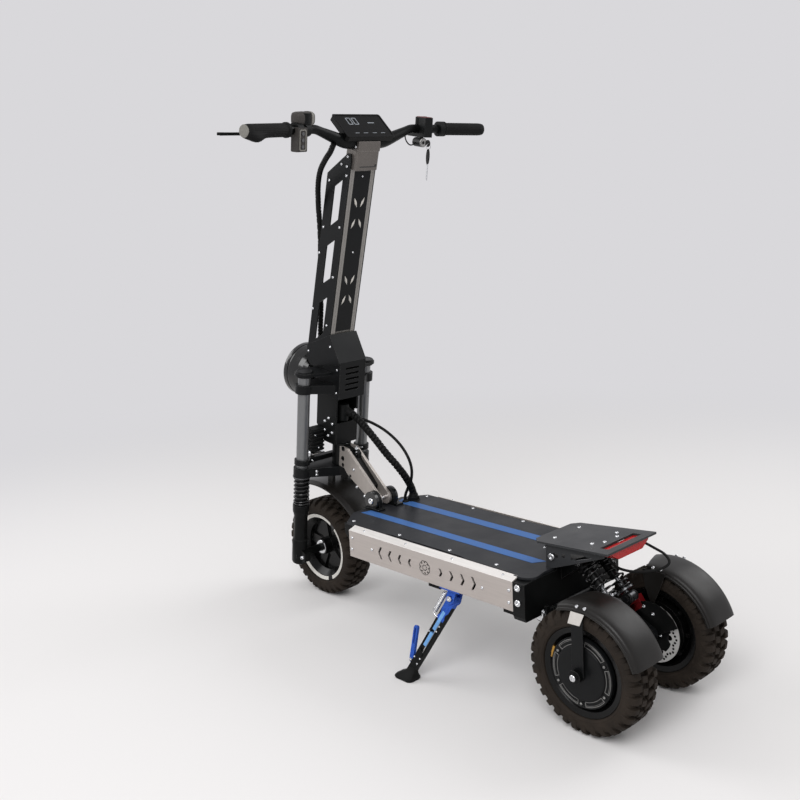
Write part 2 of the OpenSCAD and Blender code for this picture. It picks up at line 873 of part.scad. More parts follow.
module fork_crowns() {
  color(black)
  on_steering() {
    difference() {
      translate([0, 0, low_crown_z])
        linear_extrude(low_crown_h)
          crown_outline(-22, 52, 22);
      leg_places() cylinder(d = stanchion_d, h = 3 * top_crown_z);
    }
    difference() {
      translate([0, 0, top_crown_z])
        linear_extrude(top_crown_h)
          crown_outline(-20, 66, 44);
      leg_places() cylinder(d = stanchion_d, h = 3 * top_crown_z);
    }
    difference() {
      translate([0, 0, brace_z])
        linear_extrude(brace_h)
          union() {
            leg_places() circle(d = clamp_d - 4);
            translate([head_tube_d / 2 + 5, -leg_y]) square([14, 2 * leg_y]);
          }
      leg_places() cylinder(d = stanchion_d, h = 3 * top_crown_z);
    }
    translate([0, 0, low_crown_top])
      cylinder(d = steerer_d - 2 * running_gap, h = head_box_z + 2 * box_wall - low_crown_top);
    leg_places()
      translate([0, 0, stanchion_top])
        cylinder(d1 = cap_d, d2 = cap_d - 10, h = cap_h);
  }
}

lower_d = 42;
lower_foot = -24;
stanchion_foot = 66;
lower_floor = 14;
cap_h = 16;
cap_d = 44;

module fork_tubes() {
  wall = 3;
  color(grey)
  on_steering()
    leg_places()
      difference() {
        translate([0, 0, stanchion_foot])
          cylinder(d = stanchion_d - 2 * running_gap, h = stanchion_top - stanchion_foot);
        translate([0, 0, stanchion_foot - 1])
          cylinder(d = stanchion_d - 2 * wall, h = stanchion_top - stanchion_foot - 20);
      }
}

module fork_lowers() {
  cup_d = lower_d + 5;
  cup_h = 22;
  clamp_top = 46;
  color(black)
  on_steering()
    leg_places()
      difference() {
        union() {
          translate([0, 0, lower_foot])
            cylinder(d = lower_d, h = lower_top - lower_foot);
          translate([0, 0, lower_top - cup_h])
            cylinder(d = cup_d, h = cup_h);
          translate([0, 0, lower_foot])
            cylinder(d = lower_d + 3, h = clamp_top - lower_foot);
        }
        translate([0, 0, lower_floor])
          cylinder(d = stanchion_d, h = lower_top - lower_floor + 1);
        translate([axle_ahead - leg_ahead, 0, 0])
          rotate([90, 0, 0])
            cylinder(d = front_axle_d, h = 2 * lower_d, center = true);
      }
}

module fork_springs() {
  seat_gap = 0.3;
  coil_d = (stanchion_d + fork_wire + 2 * spring_rod_gap) / cos(180 / curl_rings);
  color(black)
  on_steering()
    leg_places()
      spring(coil_d, fork_curls, fork_wire, lower_top + seat_gap, low_crown_z - seat_gap);
}

front_hub_half = 34;

module front_axle() {
  leg_out = leg_y + lower_d / 2;
  leg_in = leg_y - lower_d / 2 - 2;
  color(black)
  on_steering()
    translate([axle_ahead, 0, 0]) {
      rotate([90, 0, 0])
        cylinder(d = front_axle_d - 2 * running_gap, h = 2 * leg_out, center = true);
      for (side = [-1, 1])
        translate([0, side * (leg_in + front_hub_half + free_gap) / 2, 0])
          rotate([90, 0, 0])
            cylinder(d = front_axle_d + 7, h = leg_in - front_hub_half - free_gap, center = true);
    }
}

// Wheels, drawn about their own axle along z

bead_r = bead_d / 2;
bead_half = tyre_w / 2 - 11;
shoulder_y = tyre_w / 2 - 14;

module tyre() {
  casing_r = tyre_r - tread_h;
  crown = 20;
  side = tyre_w / 2;
  block_w = 20;
  difference() {
    union() {
      rotate_extrude()
        polygon(concat(
          [[bead_r, -bead_half], [bead_r + 8, -bead_half - 5], [bead_r + 20, -side + 1]],
          [for (a = [-75:15:75]) [casing_r - crown + crown * cos(a), side * sin(a)]],
          [[bead_r + 20, side - 1], [bead_r + 8, bead_half + 5], [bead_r, bead_half]]));
      for (i = [0:tread_count - 1])
        rotate([0, 0, i * 360 / tread_count]) {
          translate([casing_r - 3, -block_w / 2, -13])
            cube([tread_h + 2, block_w - 4, 26]);
          for (end = [-1, 1])
            rotate([0, 0, end * 90 / tread_count])
              translate([casing_r - 1, 0, end * shoulder_y])
                rotate([0, -end * 32, 0])
                  cube([13, block_w, 17], center = true);
        }
    }
    difference() {
      cylinder(r = tyre_r + 20, h = 2 * tyre_w, center = true);
      cylinder(r = tyre_r, h = 3 * tyre_w, center = true);
    }
  }
}

module rim_barrel(half) {
  lip = 6;
  well_r = bead_r - 16;
  rotate_extrude()
    polygon([
      [well_r - 5, -half + 16], [bead_r - 6, -half], [bead_r + lip, -half - 3], [bead_r + lip, -half + 1],
      [bead_r, -half + 2], [bead_r, -half + 9], [well_r, -half + 22], [well_r, half - 22], [bead_r, half - 9],
      [bead_r, half - 2], [bead_r + lip, half - 1], [bead_r + lip, half + 3], [bead_r - 6, half],
      [well_r - 5, half - 16]]);
}

module at_front_wheel() {
  on_steering()
    translate([axle_ahead, 0, 0])
      rotate([90, 0, 0])
        children();
}

module at_rear_wheel(side) {
  translate([rear_axle_x, side * rear_track / 2, tyre_r])
    rotate([-90 * side, 0, 0])
      children();
}

module rim_cut() {
  rotate_extrude()
    polygon([
      [0, -bead_half - 8], [bead_r + 7, -bead_half - 8], [bead_r + 7, -bead_half + 1], [bead_r, -bead_half + 2],
      [bead_r, bead_half - 2], [bead_r + 7, bead_half - 1], [bead_r + 7, bead_half + 8], [0, bead_half + 8]]);
}

module wheel_tyre() {
  difference() {
    tyre();
    rim_cut();
  }
}

module front_tyre() {
  color(rubber) at_front_wheel() wheel_tyre();
}

module front_rim() {
  spokes = 5;
  hub_d = 48;
  spoke_w = 26;
  spoke_t = 20;
  web_t = 8;
  spoke_end = bead_r - 18;
  color(black)
  at_front_wheel()
    difference() {
      union() {
        rim_barrel(bead_half);
        cylinder(d = hub_d, h = 2 * front_hub_half, center = true);
        cylinder(r = spoke_end, h = web_t, center = true);
        for (i = [0:spokes - 1])
          rotate([0, 0, i * 360 / spokes])
            translate([0, -spoke_w / 2, -spoke_t / 2])
              cube([spoke_end, spoke_w, spoke_t]);
      }
      cylinder(d = front_axle_d, h = 4 * front_hub_half, center = true);
    }
}

disc_y = rear_track / 2 - motor_half - motor_boss_y - disc_t;
disc_seat_d = 44;
stay_t = 3;
axle_nut_y = rear_track / 2 + tyre_w / 2 + 4 + stay_t;
axle_end_y = axle_nut_y + 16;

module motor() {
  ribs = 8;
  rib_w = 8;
  color(black)
  difference() {
    union() {
      rim_barrel(bead_half);
      cylinder(d = motor_d, h = 2 * motor_half - 16, center = true);
      cylinder(d = motor_d - 30, h = 2 * motor_half, center = true);
      rotate_extrude()
        polygon([[0, -8], [bead_r - 18, -8], [bead_r - 18, 8], [0, 8]]);
      translate([0, 0, -motor_half - motor_boss_y])
        cylinder(d = disc_seat_d, h = motor_boss_y + 1);
      for (i = [0:ribs - 1])
        rotate([0, 0, i * 360 / ribs])
          translate([motor_d / 2 - 6, -rib_w / 2, -bead_half + 14])
            cube([bead_r - motor_d / 2 - 12, rib_w, 2 * bead_half - 28]);
    }
    cylinder(d = rear_axle_d, h = 4 * motor_half, center = true);
  }
}

module brake_disc() {
  holes = 24;
  color(chrome)
  translate([0, 0, -motor_half - motor_boss_y - disc_t])
    difference() {
      cylinder(d = disc_d, h = disc_t);
      translate([0, 0, -1]) cylinder(d = rear_axle_d + 4, h = disc_t + 2);
      for (i = [0:holes - 1])
        rotate([0, 0, i * 360 / holes])
          translate([disc_d / 2 - 7 - 6 * (i % 2), 0, -1])
            cylinder(d = 4.5, h = disc_t + 2);
      for (i = [0:5])
        rotate([0, 0, i * 60])
          translate([disc_d / 2 - 25, 0, -1])
            cylinder(d = 14, h = disc_t + 2);
    }
}

module rear_tyre_left() {
  color(rubber) at_rear_wheel(1) wheel_tyre();
}

module rear_tyre_right() {
  color(rubber) at_rear_wheel(-1) wheel_tyre();
}

module motor_left() {
  at_rear_wheel(1) motor();
}

module motor_right() {
  at_rear_wheel(-1) motor();
}

module brake_disc_left() {
  at_rear_wheel(1) brake_disc();
}

module brake_disc_right() {
  at_rear_wheel(-1) brake_disc();
}

// Calipers grip the discs ahead of and above the axle
module calipers() {
  reach = disc_d / 2 - 4;
  angle = 52;
  block_l = 46;
  block_w = 30;
  slot = disc_t + 1.6;
  low_y = arm_w / 2;
  high_y = disc_y + disc_t + 7;
  color(red)
  both_sides()
    difference() {
      translate([rear_axle_x, 0, tyre_r])
        rotate([0, -angle, 0])
          translate([reach - 8, low_y, -block_l / 2])
            cube([block_w, high_y - low_y, block_l]);
      translate([rear_axle_x, disc_y + disc_t / 2, tyre_r])
        rotate([90, 0, 0])
          cylinder(d = disc_d + 4, h = slot, center = true);
    }
}

// Fenders

module at_fender() {
  translate([rear_axle_x - fender_back, rear_track / 2, tyre_r + fender_up])
    rotate([90, 0, 0])
      children();
}

fender_half = 50;
fender_t = 3;
fender_flange_r = 144;
fender_inner_a = 84;

module rear_fenders() {
  fender_shells();
  fender_stays();
}

module fender_shells() {
  crown = fender_r - fender_flange_r;
  arch = [for (a = [-90:15:90]) [cos(a), sin(a)]];
  outer = [for (p = arch) [fender_flange_r + crown * pow(p[0], 0.6), fender_half * p[1]]];
  inner = [for (i = [len(arch) - 1:-1:0])
    [fender_flange_r + (crown - fender_t) * pow(arch[i][0], 0.6), (fender_half - fender_t) * arch[i][1]]];
  front_out = fender_r * cos(fender_front_a);
  front_in = fender_r * cos(fender_inner_a);
  color(black)
  both_sides()
    difference() {
      at_fender()
        rotate([0, 0, fender_front_a])
          rotate_extrude(angle = fender_rear_a - fender_front_a)
            polygon(concat(outer, inner));
      translate([rear_axle_x - fender_back, rear_track / 2, 0])
        linear_extrude(2 * tyre_d)
          polygon([
            [front_out, fender_half + 1], [front_in, -fender_half - 1],
            [fender_r, -fender_half - 1], [fender_r, fender_half + 1]]);
    }
}

module fender_stays() {
  stay_w = 34;
  stay_y = axle_nut_y - stay_t;
  stay_top = fender_flange_r + fender_up - 1;
  color(black)
  both_sides() {
    difference() {
      across(stay_t, stay_y + stay_t / 2) {
        translate([rear_axle_x, tyre_r]) circle(d = stay_w);
        translate([rear_axle_x - stay_w / 2, tyre_r]) square([stay_w, stay_top]);
      }
      cross_bar(rear_axle_x, tyre_r, rear_axle_d, 20, stay_y);
    }
  }
}

fender_x = 10;
fender_z = -30;
front_fender_r = 240;

module front_fender() {
  half = 62;
  front_a = 66;
  rear_a = 127;
  strut = 10;
  color(black)
  on_steering() {
    translate([fender_x, 0, fender_z])
      rotate([90, 0, 0])
        rotate([0, 0, front_a])
          rotate_extrude(angle = rear_a - front_a)
            polygon([
              [front_fender_r - fender_t - 7, -half], [front_fender_r - 5, -half], [front_fender_r, -half + 12],
              [front_fender_r, half - 12], [front_fender_r - 5, half], [front_fender_r - fender_t - 7, half],
              [front_fender_r - fender_t, half - 12], [front_fender_r - fender_t, -half + 12]]);
    difference() {
      for (side = [-1, 1])
        translate([fender_x - strut, side * 24 - strut / 2, front_fender_r + fender_z - 6])
          cube([2 * strut, strut, low_crown_z - front_fender_r - fender_z + 6]);
      translate([fender_x, 0, fender_z])
        rotate([90, 0, 0])
          cylinder(r = front_fender_r - 1, h = 4 * half, center = true);
    }
  }
}

// Head box, hood and headlight

box_rear = -17;
box_wall = 6;
box_front_low = 30;
box_front_high = 65;

module head_box() {
  half = head_box_w / 2;
  color(satin_black)
  on_steering()
    difference() {
      across(head_box_w)
        polygon([
          [box_rear, head_box_z], [box_front_low, head_box_z], [box_front_high, top_crown_z - 20],
          [box_front_high, top_crown_z], [box_rear, top_crown_z]]);
      across(head_box_w - 2 * box_wall)
        polygon([
          [box_rear + box_wall, head_box_z + 2 * box_wall],
          [box_front_low - box_wall, head_box_z + 2 * box_wall],
          [box_front_high - box_wall, top_crown_z - 20], [box_front_high - box_wall, top_crown_z + 1],
          [box_rear + box_wall, top_crown_z + 1]]);
      translate([0, 0, head_box_z - 1])
        cylinder(d = steerer_d, h = 2 * box_wall + 2);
      translate([box_rear - 1, -half + box_wall, top_crown_z - 92])
        cube([box_wall + 2, 44, 50]);
    }
}

hood_t = 3;
hood_half = column_w / 2 + side_t + hood_t + 0.5;
louvre_x = box_rear - 13;
louvre_half = 43;
hood_low_z = 574;

module hood() {
  louvre_low_z = top_crown_z - 14;
  slots = 5;
  slot_w = 48;
  slot_h = 6;
  side = [
    [louvre_x - hood_t, hood_low_z], [column_foot_x - 2, column_foot_z + 2], [column_foot_x + side_d + 6,
    column_foot_z - 45], [column_foot_x + side_d + 6, hood_low_z - 16], [88, hood_low_z - 34],
    [louvre_x, hood_low_z - 6]];
  color(black)
  on_steering() {
    for (way = [-1, 1])
      across(hood_t, way * (hood_half - hood_t / 2))
        polygon(side);
    across(2 * hood_half - hood_t)
      polygon([
        [louvre_x - hood_t, hood_low_z], [column_foot_x - 2, column_foot_z + 2],
        [column_foot_x - 2, column_foot_z - 3], [louvre_x, hood_low_z - 6]]);
    difference() {
      translate([louvre_x - hood_t, -louvre_half, louvre_low_z])
        cube([hood_t, 2 * louvre_half, hood_low_z - louvre_low_z]);
      for (i = [0:slots - 1])
        translate([louvre_x - 2 * hood_t, -slot_w / 2, louvre_low_z + 22 + i * 15])
          cube([4 * hood_t, slot_w, slot_h]);
    }
    for (way = [-1, 1])
      translate([louvre_x - hood_t, way > 0 ? head_box_w / 2 : -louvre_half, louvre_low_z])
        cube([30, louvre_half - head_box_w / 2, top_crown_z - louvre_low_z]);
  }
}

lamp_x = 168;
lamp_z = 503;
lamp_r = 75;
lamp_t = 3;
lamp_back = 92;

module on_lamp() {
  on_steering()
    translate([0, 0, lamp_z])
      rotate([0, 90, 0])
        children();
}

module headlight_shell() {
  depth = lamp_x - lamp_back;
  arcs = [for (a = [10:10:90]) a];
  outer = concat([[0, lamp_back]], [for (a = arcs) [lamp_r * sin(a), lamp_x - depth * cos(a)]], [[lamp_r, lamp_x + 6]]);
  inner = concat([[lamp_r - lamp_t, lamp_x + 6]],
    [for (i = [len(arcs) - 1:-1:0])
      [(lamp_r - lamp_t) * sin(arcs[i]), lamp_x - (depth - lamp_t) * cos(arcs[i])]],
    [[0, lamp_back + lamp_t]]);
  color(black) {
    on_lamp() rotate_extrude() polygon(concat(outer, inner));
    on_steering()
      difference() {
        translate([66, -16, lamp_z - 17])
          cube([lamp_back - 50, 32, 20]);
        translate([0, 0, lamp_z])
          rotate([0, 90, 0])
            rotate_extrude() polygon(concat(outer, [[0, lamp_x + 6]]));
      }
  }
}

module headlight_lens() {
  bulge = 8;
  edge_r = lamp_r - lamp_t - 0.1;
  lens_t = 3;
  seat = lamp_x + 1;
  color("lightcyan")
  on_lamp()
    rotate_extrude()
      polygon(concat(
        [[0, seat], [edge_r, seat], [edge_r, seat + lens_t]],
        [for (a = [75:-15:0]) [edge_r * sin(a), seat + lens_t + bulge * cos(a)]]));
}

// Column

cover_w = 55;
cover_t = 3;

module below_crown_cut() {
  on_steering()
    translate([-200, -200, top_crown_top - 400])
      cube(400);
}

module column_rails() {
  wall = 4;
  color(grey)
  difference() {
    on_column()
      translate([0, 0, -160])
        linear_extrude(160 + column_l)
          difference() {
            translate([0, -column_w / 2]) square([column_d, column_w]);
            translate([cover_t + wall, -column_w / 2 + wall])
              square([column_d - cover_t - 2 * wall, column_w - 2 * wall]);
            translate([-1, -cover_w / 2]) square([cover_t + 1, cover_w]);
          }
    below_crown_cut();
  }
}

leaf_l = 30;
leaf_w = 8;

module leaf() {
  polygon([[0, -leaf_l / 2], [leaf_w / 2, 0], [0, leaf_l / 2], [-leaf_w / 2, 0]]);
}

module leaf_cross(z) {
  for (v = [-1, 1], h = [-1, 1])
    translate([-cover_t, h * 11.5, z + v * 28])
      rotate([90, 0, 90])
        linear_extrude(3 * cover_t)
          rotate(-v * h * 24)
            leaf();
}

module column_cover() {
  clearance = 0.2;
  foot = 8;
  color(black)
  on_column()
    difference() {
      translate([0, -cover_w / 2 + clearance, foot])
        cube([cover_t, cover_w - 2 * clearance, column_l - foot - 6]);
      for (z = [column_l * 0.278, column_l * 0.745])
        leaf_cross(z);
      for (z = [column_l * 0.51, column_l - 18])
        translate([-1, 0, z])
          rotate([0, 90, 0])
            cylinder(d = 4, h = cover_t + 2);
    }
}

module column_side_plates() {
  windows = 3;
  window_step = 160;
  window_h = 106;
  window_first = -6;
  window_near = 30;
  window_shift = 3;
  window_w = 30;
  slant = 26;
  top = column_l + 38;
  foot = -160;
  hood_edge = -58;
  neck_d = 54;
  color(black)
  difference() {
    on_column()
      for (way = [-1, 1])
        across(side_t, way * (column_w + side_t) / 2)
          difference() {
            polygon([
              [2, foot], [neck_d, foot], [neck_d, hood_edge - 26], [side_d, hood_edge], [side_d, column_l - 28],
              [16, top], [6, top], [2, top - 14]]);
            for (i = [0:windows - 1])
              translate([window_near - i * window_shift, window_first + i * window_step])
                polygon([
                  [0, 0], [window_w, -slant], [window_w, window_h - slant], [0, window_h]]);
          }
    below_crown_cut();
  }
}

// Handlebar and controls

bar_x = 10;
bar_z = column_l + 66;
display_x = 4;
display_z = 40.5;
display_tilt = 37;
bar_bend = 60;
bar_sweep = 10;
bar_flat = 45;
bar_top_y = 160;
bar_grip_y = 178;
grip_l = 132;
grip_d = 32;
grip_in = bar_half - grip_l;

// Bar frame: origin at the middle of the clamped tube, axes as the steering frame
module on_bar() {
  on_column()
    translate([bar_x, 0, bar_z])
      rotate([0, column_lean, 0])
        children();
}

// Grip frame: y runs out along the swept left end of the bar
module on_grip_left() {
  on_bar()
    translate([0, bar_grip_y, bar_rise])
      rotate([0, 0, bar_sweep])
        children();
}

// The same frame for the right end
module on_grip_right() {
  mirror([0, 1, 0]) on_grip_left() children();
}

grip_run = (bar_half - bar_grip_y) / cos(bar_sweep);
grip_at = grip_run - grip_l;

module bar_clamp() {
  half = 38;
  foot = column_l;
  cap = bar_z + bar_clamp_d / 2 + 6;
  color(grey)
  on_column()
    difference() {
      across(2 * half)
        polygon([
          [-14, foot], [column_d + 6, foot], [column_d + 6, bar_z - 4], [bar_x + bar_clamp_d / 2 + 8, cap],
          [-8, cap], [-14, cap - 8]]);
      cross_bar(bar_x, bar_z, bar_clamp_d + 2 * running_gap, 2 * half + 2);
      translate([bar_x, 0, bar_z])
        rotate([0, column_lean, 0])
          above_display(free_gap);
    }
}

// Everything from the underside of the display upwards, in the bar frame
module above_display(gap = 0) {
  translate([display_x, 0, display_z])
    rotate([0, -display_tilt, 0])
      translate([-100, -100, -display_t - gap])
        cube(200);
}

module handlebar() {
  color(black)
  on_bar() {
    rotate([90, 0, 0])
      cylinder(d = bar_clamp_d, h = 2 * bar_flat, center = true);
    both_sides()
      bent_tube([
        [0, bar_flat - 1, 0], [0, bar_flat + 16, 0], [0, bar_top_y, bar_rise], [0, bar_grip_y, bar_rise],
        [-(bar_half - bar_grip_y) * tan(bar_sweep), bar_half, bar_rise]], bar_d, bar_bend);
  }
}

module ring_on_bar(at, length, d) {
  translate([0, at + length / 2, 0])
    rotate([90, 0, 0])
      cylinder(d = d, h = length, center = true);
}

module bar_bore(extra) {
  ring_on_bar(-10, grip_run + 40, bar_d + 2 * extra);
}

module grip_left() {
  wing = 30;
  color(rubber)
  on_grip_left()
    difference() {
      union() {
        ring_on_bar(grip_at, grip_l, grip_d);
        ring_on_bar(grip_at - 4, 6, grip_d + 5);
        ring_on_bar(grip_at + grip_l - 1, 7, grip_d - 2);
        hull() {
          translate([-4, grip_run - 48, -6]) sphere(d = grip_d - 6, $fn = 32);
          translate([-10, grip_run - 24, -12]) sphere(d = wing, $fn = 32);
          translate([-6, grip_run - 8, -8]) sphere(d = wing - 8, $fn = 32);
        }
      }
      ring_on_bar(-10, grip_run + 10.1, bar_d + 2 * running_gap);
    }
}

module throttle_grip() {
  color(rubber)
  on_grip_right()
    difference() {
      union() {
        ring_on_bar(grip_at + 3, grip_l - 3, grip_d);
        ring_on_bar(grip_at + 3, 6, grip_d + 7);
        ring_on_bar(grip_run - 1, 7, grip_d - 3);
      }
      ring_on_bar(-10, grip_run + 10.1, bar_d + 2 * running_gap);
    }
}

perch_at = 8;
perch_l = 18;
lever_x = 46;
lever_z = -12;
lever_at = 20;
lever_pin_d = 6;
lever_eye_d = 16;
lever_out = 28;
pod_at = 36;
pod_l = 20;
pod_x = -20;
pod_low = -50;
pod_high = 6;
pod_d = 22;
button_travel = 2;
button_d = 9;
button_h = 6;
button_zs = [-8, -23, -38];
box_at = perch_at;
box_l = 24;
box_d = 46;
box_low = -20;
box_high = 30;
box_x = -34;

// Perch with clamp ring, arm and a fork that takes the lever pin
module perch(tank_d, tank_h) {
  difference() {
    union() {
      ring_on_bar(perch_at, perch_l, bar_d + 12);
      translate([0, perch_at, lever_z - 9])
        cube([lever_x - 8, perch_l, 18]);
      translate([lever_x, lever_at, lever_z - 9])
        cylinder(d = 18, h = 18);
      translate([lever_x - 12, perch_at, lever_z - 9])
        cube([12, lever_at - perch_at, 18]);
      translate([4, perch_at + perch_l / 2, bar_d / 2 + 1.2])
        cylinder(d = tank_d, h = tank_h);
    }
    bar_bore(running_gap);
    translate([lever_x, lever_at, lever_z])
      cylinder(d = lever_eye_d + 8, h = 9, center = true);
    translate([lever_x, lever_at, lever_z - 20])
      cylinder(d = lever_pin_d, h = 40);
  }
  translate([lever_x, lever_at, lever_z - 9])
    cylinder(d = lever_pin_d - 2 * running_gap, h = 18);
}

module control_housings() {
  color(satin_black) {
    on_grip_left() {
      perch(36, 26);
      difference() {
        union() {
          ring_on_bar(pod_at, pod_l, bar_d + 12);
          translate([pod_x, pod_at - 6, pod_low])
            cube([pod_d, pod_l + 12, pod_high - pod_low]);
        }
        bar_bore(running_gap);
        for (z = button_zs)
          translate([pod_x - 1, pod_at + pod_l / 2, z])
            rotate([0, 90, 0])
              cylinder(d = button_d + 2 * free_gap, h = button_h + button_travel + 1);
      }
    }
    on_grip_right() {
      difference() {
        union() {
          perch(24, 16);
          translate([box_x, box_at, box_low])
            cube([box_d, box_l, box_high - box_low]);
        }
        bar_bore(running_gap);
        translate([box_x + 20, box_at + box_l / 2, box_high - button_h - button_travel])
          cylinder(d = button_d + 2 * free_gap, h = 20);
        translate([lever_x, lever_at, lever_z])
          cylinder(d = lever_eye_d + 8, h = 9, center = true);
      }
      difference() {
        ring_on_bar(grip_at - 12, 14, grip_d + 7);
        bar_bore(running_gap);
      }
    }
  }
}

module pod_button(z) {
  color(grey)
  on_grip_left()
    translate([pod_x - 2.5, pod_at + pod_l / 2, z])
      rotate([0, 90, 0])
        cylinder(d = button_d, h = button_h);
}

module horn_button() {
  pod_button(button_zs[0]);
}

module light_button() {
  pod_button(button_zs[1]);
}

module turn_button() {
  pod_button(button_zs[2]);
}

module mode_button() {
  color(red)
  on_grip_right()
    translate([box_x + 20, box_at + box_l / 2, box_high - button_h + 2.5])
      cylinder(d = button_d, h = button_h);
}

module lever() {
  blade_h = 7;
  blade_t = 9;
  tip_at = grip_run + 6;
  bow_at = tip_at - 60;
  knee_at = lever_at + 26;
  color(black)
  difference() {
    union() {
      translate([lever_x, lever_at, lever_z - blade_h / 2])
        cylinder(d = lever_eye_d, h = blade_h);
      translate([lever_x + lever_out, tip_at, lever_z - blade_h / 2])
        cylinder(d = 14, h = blade_h);
      translate([0, 0, lever_z - blade_h / 2])
        linear_extrude(blade_h)
          polygon([
            [lever_x - 7, lever_at], [lever_x + 7, lever_at - 2], [lever_x + 13, knee_at],
            [lever_x + 20, bow_at], [lever_x + lever_out + blade_t / 2, tip_at],
            [lever_x + lever_out - blade_t / 2, tip_at], [lever_x + 11, bow_at], [lever_x + 3, knee_at]]);
    }
    translate([lever_x, lever_at, lever_z - blade_h])
      cylinder(d = lever_pin_d, h = 2 * blade_h);
  }
}

module brake_lever_left() {
  on_grip_left() lever();
}

module brake_lever_right() {
  on_grip_right() lever();
}

lock_at = perch_at + 4;
lock_z = box_low - 14;
lock_d = 24;
lock_l = 34;
key_d = 5;

module key_lock() {
  strap_w = 14;
  color(black)
  on_grip_right()
    difference() {
      union() {
        translate([-lock_l + 10, lock_at, lock_z])
          rotate([0, 90, 0])
            cylinder(d = lock_d, h = lock_l);
        translate([-strap_w, lock_at - strap_w / 2 + 3, lock_z])
          cube([strap_w, strap_w - 3, box_low - lock_z]);
      }
      translate([-lock_l + 9, lock_at, lock_z])
        rotate([0, 90, 0])
          cylinder(d = key_d + 2 * running_gap, h = 22);
    }
}

key_head_x = -lock_l - 4;
key_head_d = 18;
key_eye_d = 5;
key_eye_x = key_head_x - key_head_d / 2 - 2;
ring_d = 14;
ring_wire = 1.6;
ring_drop = 0.8;

module key() {
  head_t = 3;
  color(chrome)
  on_grip_right()
    translate([0, lock_at, lock_z]) {
      translate([key_head_x, 0, 0])
        rotate([0, 90, 0])
          cylinder(d = key_d, h = 32);
      difference() {
        cross_bar(key_head_x - key_head_d / 2 + 2, 0, key_head_d, head_t);
        cross_bar(key_eye_x, 0, key_eye_d, 3 * head_t);
      }
    }
}

// Second key that hangs on a ring in the eye of the first one
module spare_key() {
  head_l = 38;
  head_w = 13;
  head_t = 2.6;
  blade_l = 42;
  blade_w = 6;
  eye_z = -ring_d - ring_drop - 0.5;
  color(chrome)
  on_grip_right()
    translate([key_eye_x, lock_at, lock_z]) {
      translate([0, 0, -ring_d / 2 - ring_drop])
        rotate([0, 90, 0])
          rotate_extrude()
            translate([ring_d / 2, 0])
              circle(d = ring_wire, $fn = 24);
      across(head_t)
        difference() {
          union() {
            translate([0, eye_z - 3]) circle(d = head_w);
            polygon([
              [-head_w / 2, eye_z - 3], [head_w / 2, eye_z - 3], [blade_w / 2, eye_z - head_l],
              [blade_w / 2 - 1, eye_z - head_l - blade_l], [-blade_w / 2 + 1, eye_z - head_l - blade_l],
              [-blade_w / 2, eye_z - head_l]]);
          }
          translate([0, eye_z]) circle(d = 4.4);
        }
    }
}

module display() {
  corner = 6;
  half_l = display_l / 2;
  half_w = display_w / 2;
  stem_w = 40;
  color(black)
  on_bar() {
    translate([display_x, 0, display_z])
      rotate([0, -display_tilt, 0])
        translate([0, 0, -display_t])
          linear_extrude(display_t)
            polygon([
              [-half_l, -half_w + corner], [-half_l + corner, -half_w], [half_l - corner, -half_w],
              [half_l, -half_w + corner], [half_l, half_w - corner], [half_l - corner, half_w],
              [-half_l + corner, half_w], [-half_l, half_w - corner]]);
    difference() {
      translate([-10, -stem_w / 2, 0])
        cube([26, stem_w, display_z + 16]);
      above_display();
      rotate([0, -column_lean, 0])
        translate([-bar_x, 0, -bar_z])
          translate([-100, -100, -100])
            cube([200, 200, 100 + bar_z + bar_clamp_d / 2 + 6]);
    }
  }
}

// Cords held at both ends, in the order of their routes

bundle_d = 14;
bar_at = [column_foot_x + bar_x * cos(column_lean) - bar_z * sin(column_lean), 0,
  column_foot_z + bar_x * sin(column_lean) + bar_z * cos(column_lean)];
bundle_route = concat(
  [for (p = [
    [-7.4, 106, -0.5], [5.6, 106, -22.6], [31.6, 99, -43.6], [67.6, 85, -75.6], [95.6, 68, -117.6],
    [113.6, 50, -173.6]]) bar_at + p],
  [[82, 32, 900], [88, 22, 800], [92, 14, 700], [94, 12, 640], [92, 12, 600]]);
harness_d = 20;
harness_route = concat(
  [for (p = [
    [141, -4, 558], [109, -14, 540], [75, -20, 512], [39, -26, 478], [9, -34, 444], [-17, -46, 412],
    [-31, -62, 380], [-33, -80, 348]]) [fold_x + p[0], p[1], p[2]]],
  [[gland_x, gland_y, 320], [gland_x, gland_y, 300]]);
hose_loop_d = 8;
hose_route = concat(
  [for (p = [
    [143, -16, 540], [113, -28, 532], [73, -46, 518], [31, -58, 498], [-11, -64, 470], [-41, -66, 438],
    [-53, -68, 404], [-49, -68, 370], [-35, -67, 344]]) [fold_x + p[0], p[1], p[2]]],
  [[hose_x, hose_y, 322], [hose_x, hose_y, 300]]);

module bar_cables() {
  color(black)
  on_steering()
    swept(smooth(bundle_route, 2), bundle_d / 2, 10, [0, 1, 0]);
}

module front_harness() {
  color(black) {
    swept(smooth(harness_route, 2), harness_d / 2, 10, [0, 1, 0]);
    swept(smooth(hose_route, 2), hose_loop_d / 2, 8, [0, 1, 0]);
  }
}

// Kickstand

stand_x = rear_axle_x + 385;
stand_y = 160;
stand_z = 196;
stand_tilt = 23.9;
stand_lean = 20.9;
stand_pin_d = 10;
stand_leg_w = 28;
stand_leg_t = 14;

// Stand frame: y runs along the pin, the leg points down z when swung by stand_lean
module on_stand() {
  translate([stand_x, stand_y, stand_z])
    rotate([stand_tilt, 0, 0])
      children();
}

